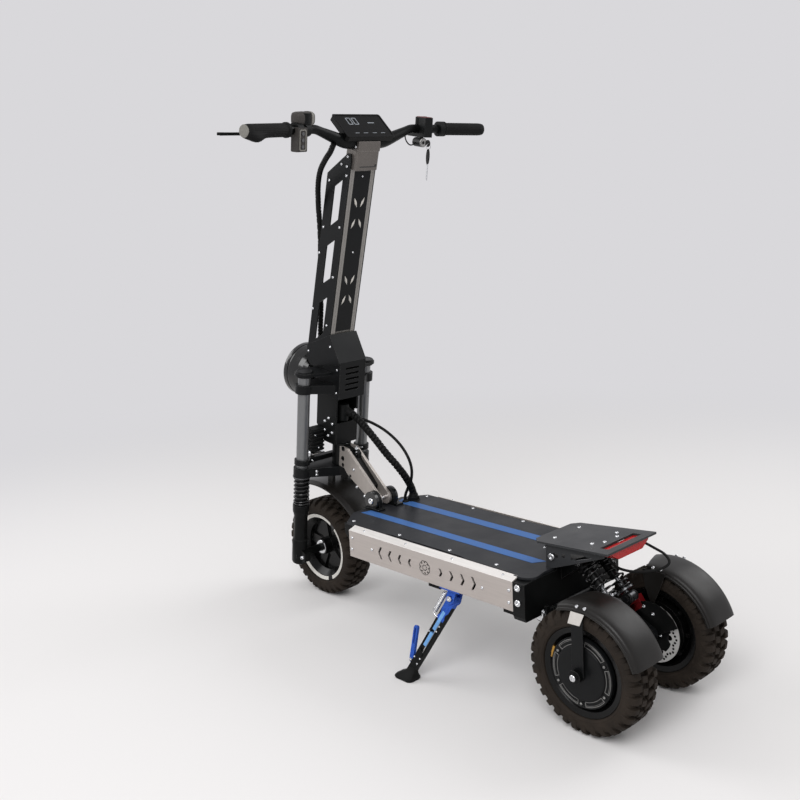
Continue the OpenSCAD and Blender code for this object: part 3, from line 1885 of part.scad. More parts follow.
module kickstand_bracket() {
  cheek_t = 6;
  plate_t = 5;
  cheek_in = stand_leg_t / 2 + free_gap;
  color(chrome) {
    difference() {
      on_stand()
        for (side = [-1, 1])
          across(cheek_t, side * (cheek_in + cheek_t / 2))
            difference() {
              union() {
                circle(d = 26);
                translate([-13, 0]) square([26, 44]);
              }
              circle(d = stand_pin_d);
            }
      translate([stand_x - 100, 0, tray_z - plate_t])
        cube([200, 300, 200]);
    }
    translate([stand_x - 32, stand_y - 46, tray_z - plate_t])
      cube([64, 46 + panel_out - stand_y - 2, plate_t]);
    on_stand()
      cross_bar(0, 0, stand_pin_d - 2 * running_gap, 2 * (cheek_in + cheek_t) + 4);
  }
}

module kickstand_leg() {
  foot_l = 52;
  foot_w = 30;
  tab_t = 8;
  color(blue)
  difference() {
    on_stand()
      rotate([0, -stand_lean, 0])
        difference() {
          union() {
            across(stand_leg_t) {
              circle(d = stand_leg_w);
              polygon([
                [-stand_leg_w / 2, 0], [-stand_leg_w / 2 + 3, -stand_l], [stand_leg_w / 2 - 3, -stand_l],
                [stand_leg_w / 2, 0]]);
            }
            translate([-foot_l / 2, -foot_w / 2, -stand_l])
              cube([foot_l, foot_w, 30]);
            across(tab_t)
              polygon([
                [6, 40 - stand_l], [16, 32 - stand_l], [26, 40 - stand_l], [58, 104 - stand_l],
                [50, 110 - stand_l], [6, 56 - stand_l]]);
          }
          cross_bar(0, 0, stand_pin_d, 2 * stand_leg_t);
          translate([-4, -stand_leg_t, -150])
            cube([8, 2 * stand_leg_t, 70]);
        }
    translate([stand_x - 300, -100, -100])
      cube([600, 600, 100.3]);
  }
}

deck_tray();
deck_top();
side_panels();
battery_pack();
rear_frame();
pivot_pins();
rear_carrier();
tail_light();
tail_light_cable();
neck_bracket();
kickstand_bracket();
front_harness();
neck_plates();
neck_core();
headset_bearings();
fork_crowns();
fork_tubes();
head_box();
hood();
headlight_shell();
headlight_lens();
column_rails();
column_cover();
column_side_plates();
bar_clamp();
handlebar();
grip_left();
display();
control_housings();
key_lock();
front_fender();
bar_cables();
fork_springs();
fork_lowers();
front_axle();
front_tyre();
front_rim();
swingarm();
rear_axles();
rear_fenders();
calipers();
rear_tyre_left();
motor_left();
brake_disc_left();
rear_tyre_right();
motor_right();
brake_disc_right();
shock_bodies();
shock_rods();
shock_springs();
brake_lever_left();
brake_lever_right();
throttle_grip();
horn_button();
light_button();
turn_button();
mode_button();
key();
spare_key();
kickstand_leg();
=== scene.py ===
import math

import bmesh
import bpy
from mathutils import Matrix, Vector


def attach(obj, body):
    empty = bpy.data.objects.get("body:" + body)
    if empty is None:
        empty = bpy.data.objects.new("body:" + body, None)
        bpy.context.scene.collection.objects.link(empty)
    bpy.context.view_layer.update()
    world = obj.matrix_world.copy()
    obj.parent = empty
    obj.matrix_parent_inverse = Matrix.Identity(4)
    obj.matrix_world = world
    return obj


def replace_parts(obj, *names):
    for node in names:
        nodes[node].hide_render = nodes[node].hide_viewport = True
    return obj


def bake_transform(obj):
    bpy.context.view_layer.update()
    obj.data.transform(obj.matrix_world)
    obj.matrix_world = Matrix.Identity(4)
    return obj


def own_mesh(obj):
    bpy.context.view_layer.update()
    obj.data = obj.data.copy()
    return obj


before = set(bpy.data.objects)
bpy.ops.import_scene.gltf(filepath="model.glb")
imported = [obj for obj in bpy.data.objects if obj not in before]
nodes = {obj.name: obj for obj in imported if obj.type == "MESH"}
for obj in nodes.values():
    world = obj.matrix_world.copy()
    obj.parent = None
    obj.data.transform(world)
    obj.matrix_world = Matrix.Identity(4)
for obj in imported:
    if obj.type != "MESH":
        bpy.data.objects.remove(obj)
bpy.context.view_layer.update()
scene = bpy.context.scene
MM = 0.001


def move(x, y, z):
    return Matrix.Translation((x * MM, y * MM, z * MM))


def turn(degrees, axis):
    return Matrix.Rotation(math.radians(degrees), 4, axis)


# Places that several pieces share, in millimetres and degrees
TRACK = 140
DECK_TOP = 304
PANEL_FACE = 175
PANEL_BEND = 296
GUSSET_FACE = 75
NECK_FACE = 21
BOX_FACE = 40
BOX_WALL = 34
CHEEK_FACE = 46.4
COLUMN_FACE = 44.5
FORK_X, FORK_Y = 39, 109
BAR_X, BAR_Z = 10, 516
BAR_KINK, BAR_RISE = 178, 33
COLUMN_LEAN = 7.4

# Frames of the part as the solids were drawn
WORLD = Matrix.Identity(4)
FLIP = Matrix.Diagonal((1, -1, 1, 1))
ALONG_Y = turn(-90, "X")
STEER = move(491.56, 0, 135.92) @ turn(-8.6, "Y")
COLUMN = STEER @ move(14, 0, 641) @ turn(-COLUMN_LEAN, "Y")
BAR = COLUMN @ move(BAR_X, 0, BAR_Z) @ turn(COLUMN_LEAN, "Y")
DISPLAY = BAR @ move(4, 0, 40.5) @ turn(-37, "Y")
GRIP_LEFT = BAR @ move(0, BAR_KINK, BAR_RISE) @ turn(10, "Z")
GRIP_RIGHT = FLIP @ GRIP_LEFT
LOCK = GRIP_RIGHT @ move(0, 12, -34)
LAMP = STEER @ move(0, 0, 503) @ turn(90, "Y")
FORK_LEG = STEER @ move(FORK_X, FORK_Y, 0)
FRONT_WHEEL = STEER @ move(34, 0, 0) @ turn(90, "X")
REAR_AXLE = move(-515.82, 0, 141)
REAR_LEFT = REAR_AXLE @ move(0, TRACK, 0) @ ALONG_Y
REAR_RIGHT = FLIP @ REAR_LEFT
FENDER = REAR_AXLE @ move(0, TRACK, -2)
SHOCK_LEFT = move(-495.82, 30, 240) @ turn(46.03, "Y")
CARRIER = move(-307.82, 0, 357) @ turn(5, "Y")
STAND = move(-130.82, 160, 196) @ turn(23.9, "X")
LEG = STAND @ turn(-20.9, "Y")
FACING = {
    "+z": WORLD,
    "-z": turn(180, "X"),
    "+y": ALONG_Y,
    "-y": turn(90, "X"),
    "-x": turn(-90, "Y"),
    "bevel": turn(-20, "X"),
}


def spot(x, y, z, at=WORLD, face="+y"):
    """Place on a surface, with its own z the way that the surface faces."""
    return at @ move(x, y, z) @ FACING[face]


PIVOT = spot(287.18, 31.5, 327)
TANK = GRIP_LEFT @ move(6, 17, 25) @ ALONG_Y


# Outlines and curves
def arc(radius, angles, x=0.0, y=0.0, tall=None):
    """Points about (x, y) at angles in degrees, on a circle or on an oval with another upright radius."""
    tall = tall or radius
    return [(x + radius * math.cos(a), y + tall * math.sin(a)) for a in map(math.radians, angles)]


def around(count, first=0):
    """Angles in degrees that share out a full turn."""
    return [first + 360 * k / count for k in range(count)]


def mirrored(outline):
    """Half an outline, and then the same with its second number turned over."""
    return outline + [(x, -y) for x, y in reversed(outline)]


def rounded(width, height, radius):
    """Outline of a rectangle with round corners about the origin."""
    steps = 5
    points = []
    for k, (sx, sy) in enumerate(((1, 1), (-1, 1), (-1, -1), (1, -1))):
        angles = [90 * k + 90 * i / steps for i in range(steps + 1)]
        points += arc(radius, angles, sx * (width / 2 - radius), sy * (height / 2 - radius))
    return points


def shifted(outline, x, y=0):
    return [(px + x, py + y) for px, py in outline]


def smooth(route, steps):
    """Points of the spline through a route, as the solids' cords follow it."""
    p = [Vector(q) for q in route]
    last = len(p) - 1
    path = []
    for i in range(last):
        a, b, c, d = p[max(i - 1, 0)], p[i], p[i + 1], p[min(i + 2, last)]
        for k in range(steps):
            t = k / steps
            square = (2 * a - 5 * b + 4 * c - d) * t * t
            cube = (3 * b - a - 3 * c + d) * t ** 3
            path.append(0.5 * (2 * b + (c - a) * t + square + cube))
    return path + [p[last]]


def hexagon(a, r, z):
    """Radius of a six-sided form with that radius to its flats."""
    return r / math.cos((a + math.pi / 6) % (math.pi / 3) - math.pi / 6)


FLAT = math.cos(math.pi / 6)


class Form:
    """A mesh in the making, with points in millimetres of the frame that each part is added in."""

    def __init__(self):
        self.points = []
        self.faces = []

    def add(self, points, faces, at=WORLD):
        base = len(self.points)
        self.points += [at @ (Vector(p) * MM) for p in points]
        self.faces += [[base + i for i in face] for face in faces]
        return self

    def mirror(self):
        """Adds all of it again on the other side of the part."""
        base = len(self.points)
        self.points += [FLIP @ p for p in self.points]
        self.faces += [[base + i for i in face] for face in self.faces]
        return self

    def lathe(self, profile, at=WORLD, sides=32, closed=False, start=0.0, sweep=360.0, shape=None):
        """Turns (radius, height) points about z; shape(angle, radius, height) may change each radius."""
        whole = sweep >= 360
        columns = sides if whole else sides + 1
        points, rings, faces = [], [], []
        for radius, height in profile:
            ring = []
            for k in range(columns if radius > 0 else 1):
                a = math.radians(start + sweep * k / sides)
                r = shape(a, radius, height) if shape and radius > 0 else radius
                ring.append(len(points))
                points.append((r * math.cos(a), r * math.sin(a), height))
            rings.append(ring)
        pairs = list(zip(rings, rings[1:]))
        if closed:
            pairs.append((rings[-1], rings[0]))
        for low, high in pairs:
            for k in range(sides):
                n = (k + 1) % columns
                quad = [low[k % len(low)], low[n % len(low)], high[n % len(high)], high[k % len(high)]]
                face = [v for i, v in enumerate(quad) if v not in quad[:i]]
                if len(face) > 2:
                    faces.append(face)
        if closed and not whole:
            faces.append([ring[0] for ring in rings])
            faces.append([ring[-1] for ring in rings])
        return self.add(points, faces, at)

    def skin(self, points, n, at, ring=False):
        """Skin over loops of n points each, closed by a cap at either end or by joining the ends."""
        total = len(points)
        faces = [
            [k + i, k + (i + 1) % n, (k + n + (i + 1) % n) % total, (k + n + i) % total]
            for k in range(0, total if ring else total - n, n)
            for i in range(n)]
        if not ring:
            faces += [list(range(n))[::-1], list(range(total - n, total))]
        return self.add(points, faces, at)

    def loft(self, loops, at=WORLD):
        return self.skin([p for loop in loops for p in loop], len(loops[0]), at)

    def prism(self, outline, low, high, at=WORLD):
        return self.loft([[(x, y, z) for x, y in outline] for z in (low, high)], at)

    def across(self, outline, y0, y1, at=WORLD):
        """Extrudes an outline drawn in x and z from y0 to y1."""
        return self.prism([(x, -z) for x, z in outline], y0, y1, at @ ALONG_Y)

    def block(self, low, high, at=WORLD):
        corners = [(low[0], low[1]), (high[0], low[1]), (high[0], high[1]), (low[0], high[1])]
        return self.prism(corners, low[2], high[2], at)

    def holed(self, outer, inner, low, high, at=WORLD):
        """Flat ring between two outlines of as many points."""
        loops = ((outer, low), (inner, low), (inner, high), (outer, high))
        return self.skin([(x, y, z) for loop, z in loops for x, y in loop], len(outer), at, True)

    def tube(self, path, radius, at=WORLD, sides=12, shape=None):
        """Round tube along points; shape(angle, length along) may add to the radius."""
        path = [Vector(p) for p in path]
        last = len(path) - 1
        heads = [(path[min(i + 1, last)] - path[max(i - 1, 0)]).normalized() for i in range(last + 1)]
        side = heads[0].orthogonal().normalized()
        points, along = [], 0.0
        for i, (p, h) in enumerate(zip(path, heads)):
            side = (side - h * side.dot(h)).normalized()
            other = h.cross(side)
            along += (p - path[i - 1]).length if i else 0.0
            for k in range(sides):
                a = 2 * math.pi * k / sides
                r = radius + (shape(a, along) if shape else 0.0)
                points.append(p + (side * math.cos(a) + other * math.sin(a)) * r)
        return self.skin(points, sides, at)

    def screw(self, at, d, h=None):
        """Button head with a hexagon socket, its seat on the plane z = 0."""
        h = h or 0.5 * d

        def socket(a, r, z):
            return r if r > 0.27 * d else hexagon(a, FLAT * r, z)

        head = [(0.5 * d, -0.3), (0.5 * d, 0.3 * h), (0.44 * d, 0.7 * h), (0.33 * d, h)]
        hollow = [(0.26 * d, h), (0.25 * d, 0.4 * h), (0, 0.35 * h)]
        return self.lathe(head + hollow, at, 18, shape=socket)

    def nut(self, at, d, h, bolt):
        """Hexagon nut on a washer, with the rounded end of its bolt."""
        washer = 1.4

        def six(a, r, z):
            return hexagon(a, 1.12 * FLAT * r, z)

        self.lathe([(0.62 * d, 0), (0.62 * d, washer), (0.3 * d, washer)], at, 28)
        self.lathe([
            (0.45 * d, washer), (0.5 * d, washer + 0.8), (0.5 * d, h - 1), (0.44 * d, h), (0.5 * bolt, h)],
            at, 24, shape=six)
        end = [(0.5 * bolt, h - 2), (0.5 * bolt, h + 2), (0.36 * bolt, h + 3.4), (0, h + 3.4)]
        return self.lathe(end, at, 20)

    def build(self, name, body, material, bevel=0.0, steps=2, angle=35):
        """Object of the mesh, with edges sharper than the angle bevelled, that rides on the body."""
        mesh = bpy.data.meshes.new(name)
        mesh.from_pydata(self.points, [], self.faces)
        work = bmesh.new()
        work.from_mesh(mesh)
        bmesh.ops.recalc_face_normals(work, faces=work.faces)
        if bevel:
            edges = [
                e for e in work.edges
                if len(e.link_faces) == 2 and e.calc_face_angle(0) > math.radians(angle)]
            bmesh.ops.bevel(
                work, geom=edges, offset=bevel * MM, segments=steps, profile=0.5, affect="EDGES",
                clamp_overlap=True)
        for face in work.faces:
            face.smooth = True
        work.to_mesh(mesh)
        work.free()
        mesh.set_sharp_from_angle(angle=math.radians(angle))
        mesh.materials.append(material)
        piece = bpy.data.objects.new(name, mesh)
        scene.collection.objects.link(piece)
        if bevel:
            piece.modifiers.new("even_normals", "WEIGHTED_NORMAL").keep_sharp = True
        if body:
            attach(piece, body)
        return piece


# Materials
def shading(owner):
    """Clears the nodes of a material or a world, and gives the function that adds new ones."""
    owner.use_nodes = True
    tree = owner.node_tree
    tree.nodes.clear()

    def add(kind, inputs=None, out=0, **settings):
        """Output of a new node, each of its inputs set to a value or joined to another output."""
        node = tree.nodes.new("ShaderNode" + kind)
        for name, value in settings.items():
            setattr(node, name, value)
        for key, value in (inputs or {}).items():
            if isinstance(value, bpy.types.NodeSocket):
                tree.links.new(value, node.inputs[key])
            else:
                node.inputs[key].default_value = value
        return node.outputs[out] if node.outputs else None

    return add


CLOUD_LOW, CLOUD_HIGH = 0.3, 0.7
BARE_METAL = (0.75, 0.74, 0.72, 1)


def linear(code):
    parts = [int(code[i:i + 2], 16) / 255 for i in (1, 3, 5)]
    return [c / 12.92 if c < 0.04045 else ((c + 0.055) / 1.055) ** 2.4 for c in parts] + [1.0]


def toned(colour, by):
    return [min(1.0, c * by) for c in colour[:3]] + [1.0]


def paint(name, code, rough, metal=0.0, vary=0.1, spread=0.08, cloud=14.0, grain=900.0, bump=0.1, depth=0.1,
          stretch=(1, 1, 1), edge=0.0, wear=0.0, shine=0.5, **sockets):
    """Shader with clouded colour and roughness, a fine grain, and rounded, slightly worn edges on solids."""
    material = bpy.data.materials.new(name)
    add = shading(material)
    place = add("Mapping", {"Vector": add("TexCoord", out="Object"), "Scale": stretch})
    clouds = add("TexNoise", {"Vector": place, "Scale": cloud, "Detail": 6.0})
    fine = add("TexNoise", {"Vector": place, "Scale": grain, "Detail": 3.0})
    tint = add("ValToRGB", {"Fac": clouds})
    dark, light = tint.node.color_ramp.elements
    dark.position, light.position = CLOUD_LOW, CLOUD_HIGH
    dark.color, light.color = toned(linear(code), 1 - vary), toned(linear(code), 1 + vary)
    gloss = add("MapRange", {
        "Value": clouds, "From Min": CLOUD_LOW, "From Max": CLOUD_HIGH,
        "To Min": max(0.02, rough - spread), "To Max": min(1.0, rough + spread)})
    relief = {"Height": fine, "Strength": bump, "Distance": depth * MM}
    if edge:
        relief["Normal"] = add("Bevel", {"Radius": edge * MM}, samples=4)
    if edge and wear:
        flat = add("NewGeometry", out="Normal")
        dot = add("VectorMath", {0: relief["Normal"], 1: flat}, "Value", operation="DOT_PRODUCT")
        rub = add("MapRange", {"Value": dot, "From Min": 0.99, "From Max": 0.8, "To Max": wear})
        tint = add("Mix", {0: rub, 6: tint, 7: BARE_METAL}, 2, data_type="RGBA")
    shader = add("BsdfPrincipled", {
        "Base Color": tint, "Metallic": metal, "Roughness": gloss, "Normal": add("Bump", relief),
        "Specular IOR Level": shine, **sockets})
    add("OutputMaterial", {0: shader})
    return material


sheet = dict(edge=0.8, grain=1600, bump=0.12, shine=0.14)
brushed = dict(stretch=(0.04, 1, 1), cloud=300)
satin = paint("satin_black", "#0d0e0e", 0.42, vary=0.18, edge=0.9, wear=0.08, shine=0.14)
plate = paint("plate_black", "#111213", 0.38, vary=0.12, wear=0.12, **sheet)
carrier_black = paint("carrier_black", "#333436", 0.34, wear=0.14, **sheet)
grip_plate = paint("grip_plate", "#2b2c2f", 0.42, vary=0.14, edge=0.8, wear=0.1, grain=2200, bump=0.35,
                   depth=0.15, shine=0.14)
silver = paint("silver_panel", "#b6aea9", 0.4, 0.45, vary=0.05, bump=0.06, edge=1.2, wear=0.4, **brushed)
# Paler than the side panels: a painted highlight for the strips on their top bends
bright_edge = paint("bright_edge", "#f3efec", 0.4, 0.3, vary=0.04, bump=0.05, edge=0.5, **brushed)
neck_silver = paint("neck_silver", "#afa8a2", 0.38, 0.55, vary=0.06, stretch=(1, 1, 0.05), cloud=300,
                    bump=0.06, edge=1.6, wear=0.5)
column_grey = paint("column_grey", "#8b8884", 0.38, 0.6, vary=0.06, stretch=(1, 1, 0.03), cloud=260,
                    bump=0.06, edge=1, wear=0.25)
clamp_grey = paint("clamp_grey", "#625d59", 0.42, 0.45, vary=0.08, grain=1400, edge=1.5, wear=0.2)
stanchion = paint("stanchion_grey", "#747576", 0.3, 0.6, vary=0.03, spread=0.03, cloud=40, bump=0.03,
                  edge=0.8, wear=0.2)
steel = paint("bright_steel", "#d2d3d5", 0.2, 1.0, vary=0.06, spread=0.06, cloud=90, bump=0.04, edge=0.5)
dark_steel = paint("dark_steel", "#5b5c5e", 0.3, 0.9, vary=0.08, cloud=90, bump=0.04, edge=0.5)
disc_steel = paint("disc_steel", "#cfcecc", 0.4, 0.3, vary=0.04, spread=0.05, cloud=60, bump=0.03, edge=0.4)
pale_metal = paint("pale_metal", "#d6d2cd", 0.4, 0.4, vary=0.05, cloud=120, bump=0.05, edge=0.6)
leaf_silver = paint("leaf_silver", "#d2cec6", 0.3, 0.6, vary=0.06, cloud=90, bump=0.04)
trim = paint("trim_grey", "#9b9a98", 0.36, 0.7, vary=0.06, cloud=120, bump=0.05, edge=0.4)
brass = paint("brass", "#b48a45", 0.3, 1.0, cloud=120, bump=0.05)
metal_black = paint("black_metal", "#0b0c0c", 0.36, 0.1, vary=0.2, edge=0.9, wear=0.1, shine=0.14)
gloss_black = paint("gloss_black", "#070808", 0.16, spread=0.03, bump=0.02, edge=0.6, **{"Coat Weight": 0.3})
rim_black = paint("rim_black", "#090909", 0.24, vary=0.12, spread=0.05, bump=0.03, edge=0.8, wear=0.05,
                  shine=0.2)
spring_black = paint("spring_black", "#0b0b0c", 0.18, vary=0.15, spread=0.04, cloud=60, bump=0.04, shine=0.6)
display_black = paint("display_black", "#050505", 0.3, spread=0.05, bump=0.03, edge=0.6, shine=0.1)
shade = paint("shadow_black", "#040404", 0.8, shine=0.05)
plastic = paint("control_plastic", "#101111", 0.5, vary=0.15, grain=1800, bump=0.2, edge=1.2, wear=0.04,
                shine=0.14)
pod_grey = paint("pod_grey", "#3f3c3a", 0.46, grain=1600, bump=0.2, edge=1, wear=0.05, shine=0.14)
grey_plastic = paint("grey_plastic", "#77756f", 0.5, vary=0.08, grain=1400, bump=0.2, edge=0.8)
fender = paint("fender_plastic", "#161412", 0.38, grain=1500, bump=0.2, edge=1, wear=0.04, shine=0.3)
rubber = paint("grip_rubber", "#0f0f0f", 0.62, vary=0.15, grain=700, bump=0.4, depth=0.2, shine=0.14)
tyre_rubber = paint("tyre_rubber", "#2a241f", 0.74, vary=0.3, spread=0.1, cloud=30, grain=600, bump=0.4,
                    depth=0.3, shine=0.14)
cable = paint("cable_black", "#0c0c0c", 0.5, vary=0.15, bump=0.25, shine=0.14)
red_lens = paint("red_lens", "#ac1113", 0.26, vary=0.15, cloud=60, bump=0.05, edge=0.8, shine=0.3)
caliper_red = paint("caliper_red", "#8d1b20", 0.36, 0.3, vary=0.12, grain=1300, edge=1.2, wear=0.1)
blue_metal = paint("blue_anodised", "#2a57b8", 0.26, 0.6, cloud=60, bump=0.04, edge=1, wear=0.12)
pale_blue = paint("pale_blue", "#6ea4dc", 0.34, 0.3, vary=0.08, cloud=60, bump=0.05, edge=0.8, wear=0.12)
blue_film = paint("blue_film", "#416aa6", 0.44, vary=0.08, cloud=40, grain=2200, bump=0.25, shine=0.14)
white_paint = paint("white_paint", "#d9d6d0", 0.42, vary=0.05, cloud=60, bump=0.05)
button_grey = paint("button_grey", "#4c4c4e", 0.5, grain=1500, edge=0.8)
button_red = paint("button_red", "#5c161b", 0.45, grain=1500, edge=0.8)
wrap = paint("battery_wrap", "#2a4f9e", 0.4, edge=1)
digits = paint("display_digits", "#8d9298", 0.5, vary=0.08, cloud=200)
mirror = paint("lamp_mirror", "#e4e5e6", 0.1, 1.0, vary=0.03, spread=0.04, cloud=60, bump=0.02)
glass = paint("lamp_glass", "#f2f5f6", 0.06, vary=0.02, spread=0.03, cloud=40, grain=60, bump=0.3,
              depth=0.6, IOR=1.46, **{"Transmission Weight": 1})

FINISHES = {
    satin: "deck_tray rear_frame head_box neck_core",
    carrier_black: "rear_carrier",
    grip_plate: "deck_top",
    plate: "hood column_cover column_side_plates fork_crowns neck_bracket swingarm",
    silver: "side_panels",
    neck_silver: "neck_plates",
    column_grey: "column_rails",
    clamp_grey: "bar_clamp",
    stanchion: "fork_tubes",
    steel: "pivot_pins headset_bearings key spare_key",
    dark_steel: "shock_rods",
    disc_steel: "brake_disc_left brake_disc_right",
    metal_black: "handlebar fork_lowers front_axle rear_axles shock_bodies "
                 "brake_lever_left brake_lever_right key_lock",
    gloss_black: "headlight_shell",
    rim_black: "front_rim motor_left motor_right",
    display_black: "display",
    plastic: "control_housings",
    fender: "rear_fenders front_fender",
    rubber: "grip_left throttle_grip",
    tyre_rubber: "front_tyre rear_tyre_left rear_tyre_right",
    cable: "front_harness tail_light_cable bar_cables",
    spring_black: "fork_springs shock_springs",
    red_lens: "tail_light",
    caliper_red: "calipers",
    blue_metal: "kickstand_leg kickstand_bracket",
    button_grey: "horn_button light_button turn_button",
    button_red: "mode_button",
    wrap: "battery_pack",
    glass: "headlight_lens",
}
for finish, names in FINISHES.items():
    for name in names.split():
        for slot in nodes[name].material_slots:
            slot.material = finish


# Cords, each along the route of its solid; the lead of the key lock has no solid
def run(name, route, d, node, body=None, at=WORLD, pitch=0.0, bend=None):
    """Cord along points; pitch is that of a spiral sleeve. The bodies and points in bend are not used; when
    bend is given, the cord's place is only baked into its mesh.
    """
    def sleeve(a, along):
        return -0.07 * d if (along / pitch - a / (2 * math.pi)) % 1.0 < 0.24 else 0.02 * d

    tube = Form().tube(smooth(route, 24 if pitch else 12), d / 2, at, 16, sleeve if pitch else None)
    piece = tube.build(name, body, cable)
    if bend:
        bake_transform(piece)
    if node:
        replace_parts(piece, node)
    path = [at @ (p * MM) for p in smooth(route, 3)]
    length = sum((b - a).length for a, b in zip(path, path[1:]))
    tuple(path[0])


HARNESS = [
    (428.18, -4, 558), (396.18, -14, 540), (362.18, -20, 512), (326.18, -26, 478), (296.18, -34, 444),
    (270.18, -46, 412), (256.18, -62, 380), (254.18, -80, 348), (257.18, -92, 320), (257.18, -92, 300)]
HOSE = [
    (430.18, -16, 540), (400.18, -28, 532), (360.18, -46, 518), (318.18, -58, 498), (276.18, -64, 470),
    (246.18, -66, 438), (234.18, -68, 404), (238.18, -68, 370), (252.18, -67, 344), (262.18, -66, 322),
    (262.18, -66, 300)]
run("front_harness_sleeve", HARNESS, 20, "front_harness", pitch=11,
    bend=("neck", "deck", (0.428, -0.004, 0.558), (0.257, -0.092, 0.31)))
run("front_brake_hose", HOSE, 8, "front_harness",
    bend=("neck", "deck", (0.385, -0.035, 0.527), (0.257, -0.092, 0.31)))
run("tail_light_lead", [
    (-514.82, -60.5, 361.9), (-528.82, -72, 351), (-550.82, -80, 339), (-564.82, -78, 325),
    (-560.82, -64, 315), (-541.82, -38, 309), (-513.82, -8, 311), (-489.82, 12, 321), (-475.82, 16, 336),
    (-469.82, 16, 353), (-467.82, 16, 370.2)], 6, "tail_light_cable", "deck")
run("bar_cable_bundle", [
    (-49.94, 106, 1153.49), (-36.94, 106, 1131.39), (-10.94, 99, 1110.39), (25.06, 85, 1078.39),
    (53.06, 68, 1036.39), (71.06, 50, 980.39), (82, 32, 900), (88, 22, 800), (92, 14, 700), (94, 12, 640),
    (92, 12, 600)], 14, "bar_cables", "steering", STEER, pitch=9)
run("lock_lead", [
    (0, -30, -13), (0, -30, -22), (-2, -26, -33), (-3, -17, -41), (-3, -7, -41), (-3, 0.5, -35)],
    3.4, None, "steering", GRIP_RIGHT)


def outset(route):
    """Frame at the start of a route, with its z along it."""
    start, after = Vector(route[0]), Vector(route[1])
    return move(*start) @ (after - start).to_track_quat("Z", "Y").to_matrix().to_4x4()


boots = Form().lathe([
    (15, -4), (15, 5), (13.6, 7), (13.6, 10), (12.5, 12), (12.5, 15), (11.4, 17), (11.4, 20), (10.7, 26)],
    outset(HARNESS), 24)
boots.lathe([(7, -4), (7, 4), (6, 6), (6, 9), (5, 12), (4.5, 17)], outset(HOSE), 20)
boots.build("cord_boots", "neck", rubber)
gland = move(*HARNESS[-1][:2], DECK_TOP)
glands = Form().lathe([(18, 0), (18, 2.2), (16.6, 3)], gland, 30)
glands.lathe([(13.4, 2), (14, 3), (14, 11), (13.2, 12)], gland, 24, shape=hexagon)
glands.lathe([(13.2, 11), (13, 15), (11.6, 19), (10.5, 20), (10.5, 8)], gland, 30)
glands.lathe([(9.5, 0), (9.5, 2), (7.5, 5), (4.6, 7), (4.3, 2)], move(*HOSE[-1][:2], DECK_TOP), 24)
glands.build("deck_glands", "deck", plastic, 0.4, 1)


# Springs, each wound between its seats
def coil(form, at, low, high, d, wire, curls, steps=26):
    """Adds a spring whose first and last curls lie flat."""
    dead = wire + 0.8
    foot, head = low + wire / 2, high - wire / 2
    path = []
    for k in range(curls * steps + 1):
        u = k / steps
        inner = foot + dead + (head - foot - 2 * dead) * (u - 1) / (curls - 2)
        z = foot + dead * u if u < 1 else head - dead * (curls - u) if u > curls - 1 else inner
        a = 2 * math.pi * u
        path.append((d / 2 * math.cos(a), d / 2 * math.sin(a), z))
    return form.tube(path, wire / 2, at, 10)


coils = Form()
for y in (FORK_Y, -FORK_Y):
    coil(coils, STEER @ move(FORK_X, y, 0), 155.3, 239.7, 41, 4.4, 8)
coils = coils.build("fork_coils", "steering", spring_black)
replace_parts(coils, "fork_springs")
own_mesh(coils)
coils = coil(Form(), SHOCK_LEFT, 20.3, 99.8, 35, 5, 6).mirror()
coils = coils.build("shock_coils", "shock_top", spring_black)
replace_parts(coils, "shock_springs")
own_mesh(coils)


# Tyres: round casing with ribs on the walls, lugs on the shoulders and staggered blocks between them
def lug(form, at, angle, half, sections, skew=0.0):
    """Block of so many degrees either way, narrower on top, over (height, low, high radius) sections."""
    loops = []
    for z, low, high in sections:
        a = angle + skew * abs(z)
        ends = arc(low, (a - half, a + half)) + arc(high, (a + 0.86 * half, a - 0.86 * half))
        loops.append([(x, y, z) for x, y in ends])
    return form.loft(loops, at)


def tyre(name, body, node, at):
    half = [(93.2, 30.5), (100.3, 31.6), (100.8, 38.4), (103.6, 40.2), (104.6, 41.6), (106, 41.6), (107, 41),
            (111, 42.2), (116, 43), (121, 42.8), (125.5, 41), (129, 37.4), (131, 31), (132, 20), (132.4, 8)]
    form = Form().lathe(mirrored(half), at, 108, closed=True)
    for k, pitch in enumerate(around(32)):
        wide = k % 2
        for side in (1, -1):
            a = pitch + (2.8 if side > 0 else 8.4)
            lug(form, at, a, 3.7 if wide else 3.2, [
                (21 * side, 129, 140.6), (31 * side, 128, 140.2), (38 * side, 125, 136.6),
                (42 * side, 119, 131.4), (43.6 * side, 112 if wide else 117, 125.4)])
            lug(form, at, a + 5.2, 3.5, [
                (1.5 * side, 130, 140.9), (9 * side, 130, 140.9), (18.4 * side, 130, 140.6)], 0.1)
    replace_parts(form.build(name, body, tyre_rubber, 0.7, 1), node)


tyre("front_tyre_tread", "front_wheel", "front_tyre", FRONT_WHEEL)
tyre("rear_tyre_tread_left", "rear_wheel_left", "rear_tyre_left", REAR_LEFT)
tyre("rear_tyre_tread_right", "rear_wheel_right", "rear_tyre_right", REAR_RIGHT)


# Rear hubs: cover with framed fields, screws between them, a valve, and the brake disc with dark dots
# painted on it as the shade of drilled openings
def scalloped(a, r, z):
    return r - (9 * max(0.0, math.cos(6 * a)) ** 0.6 if r > 40 else 0)


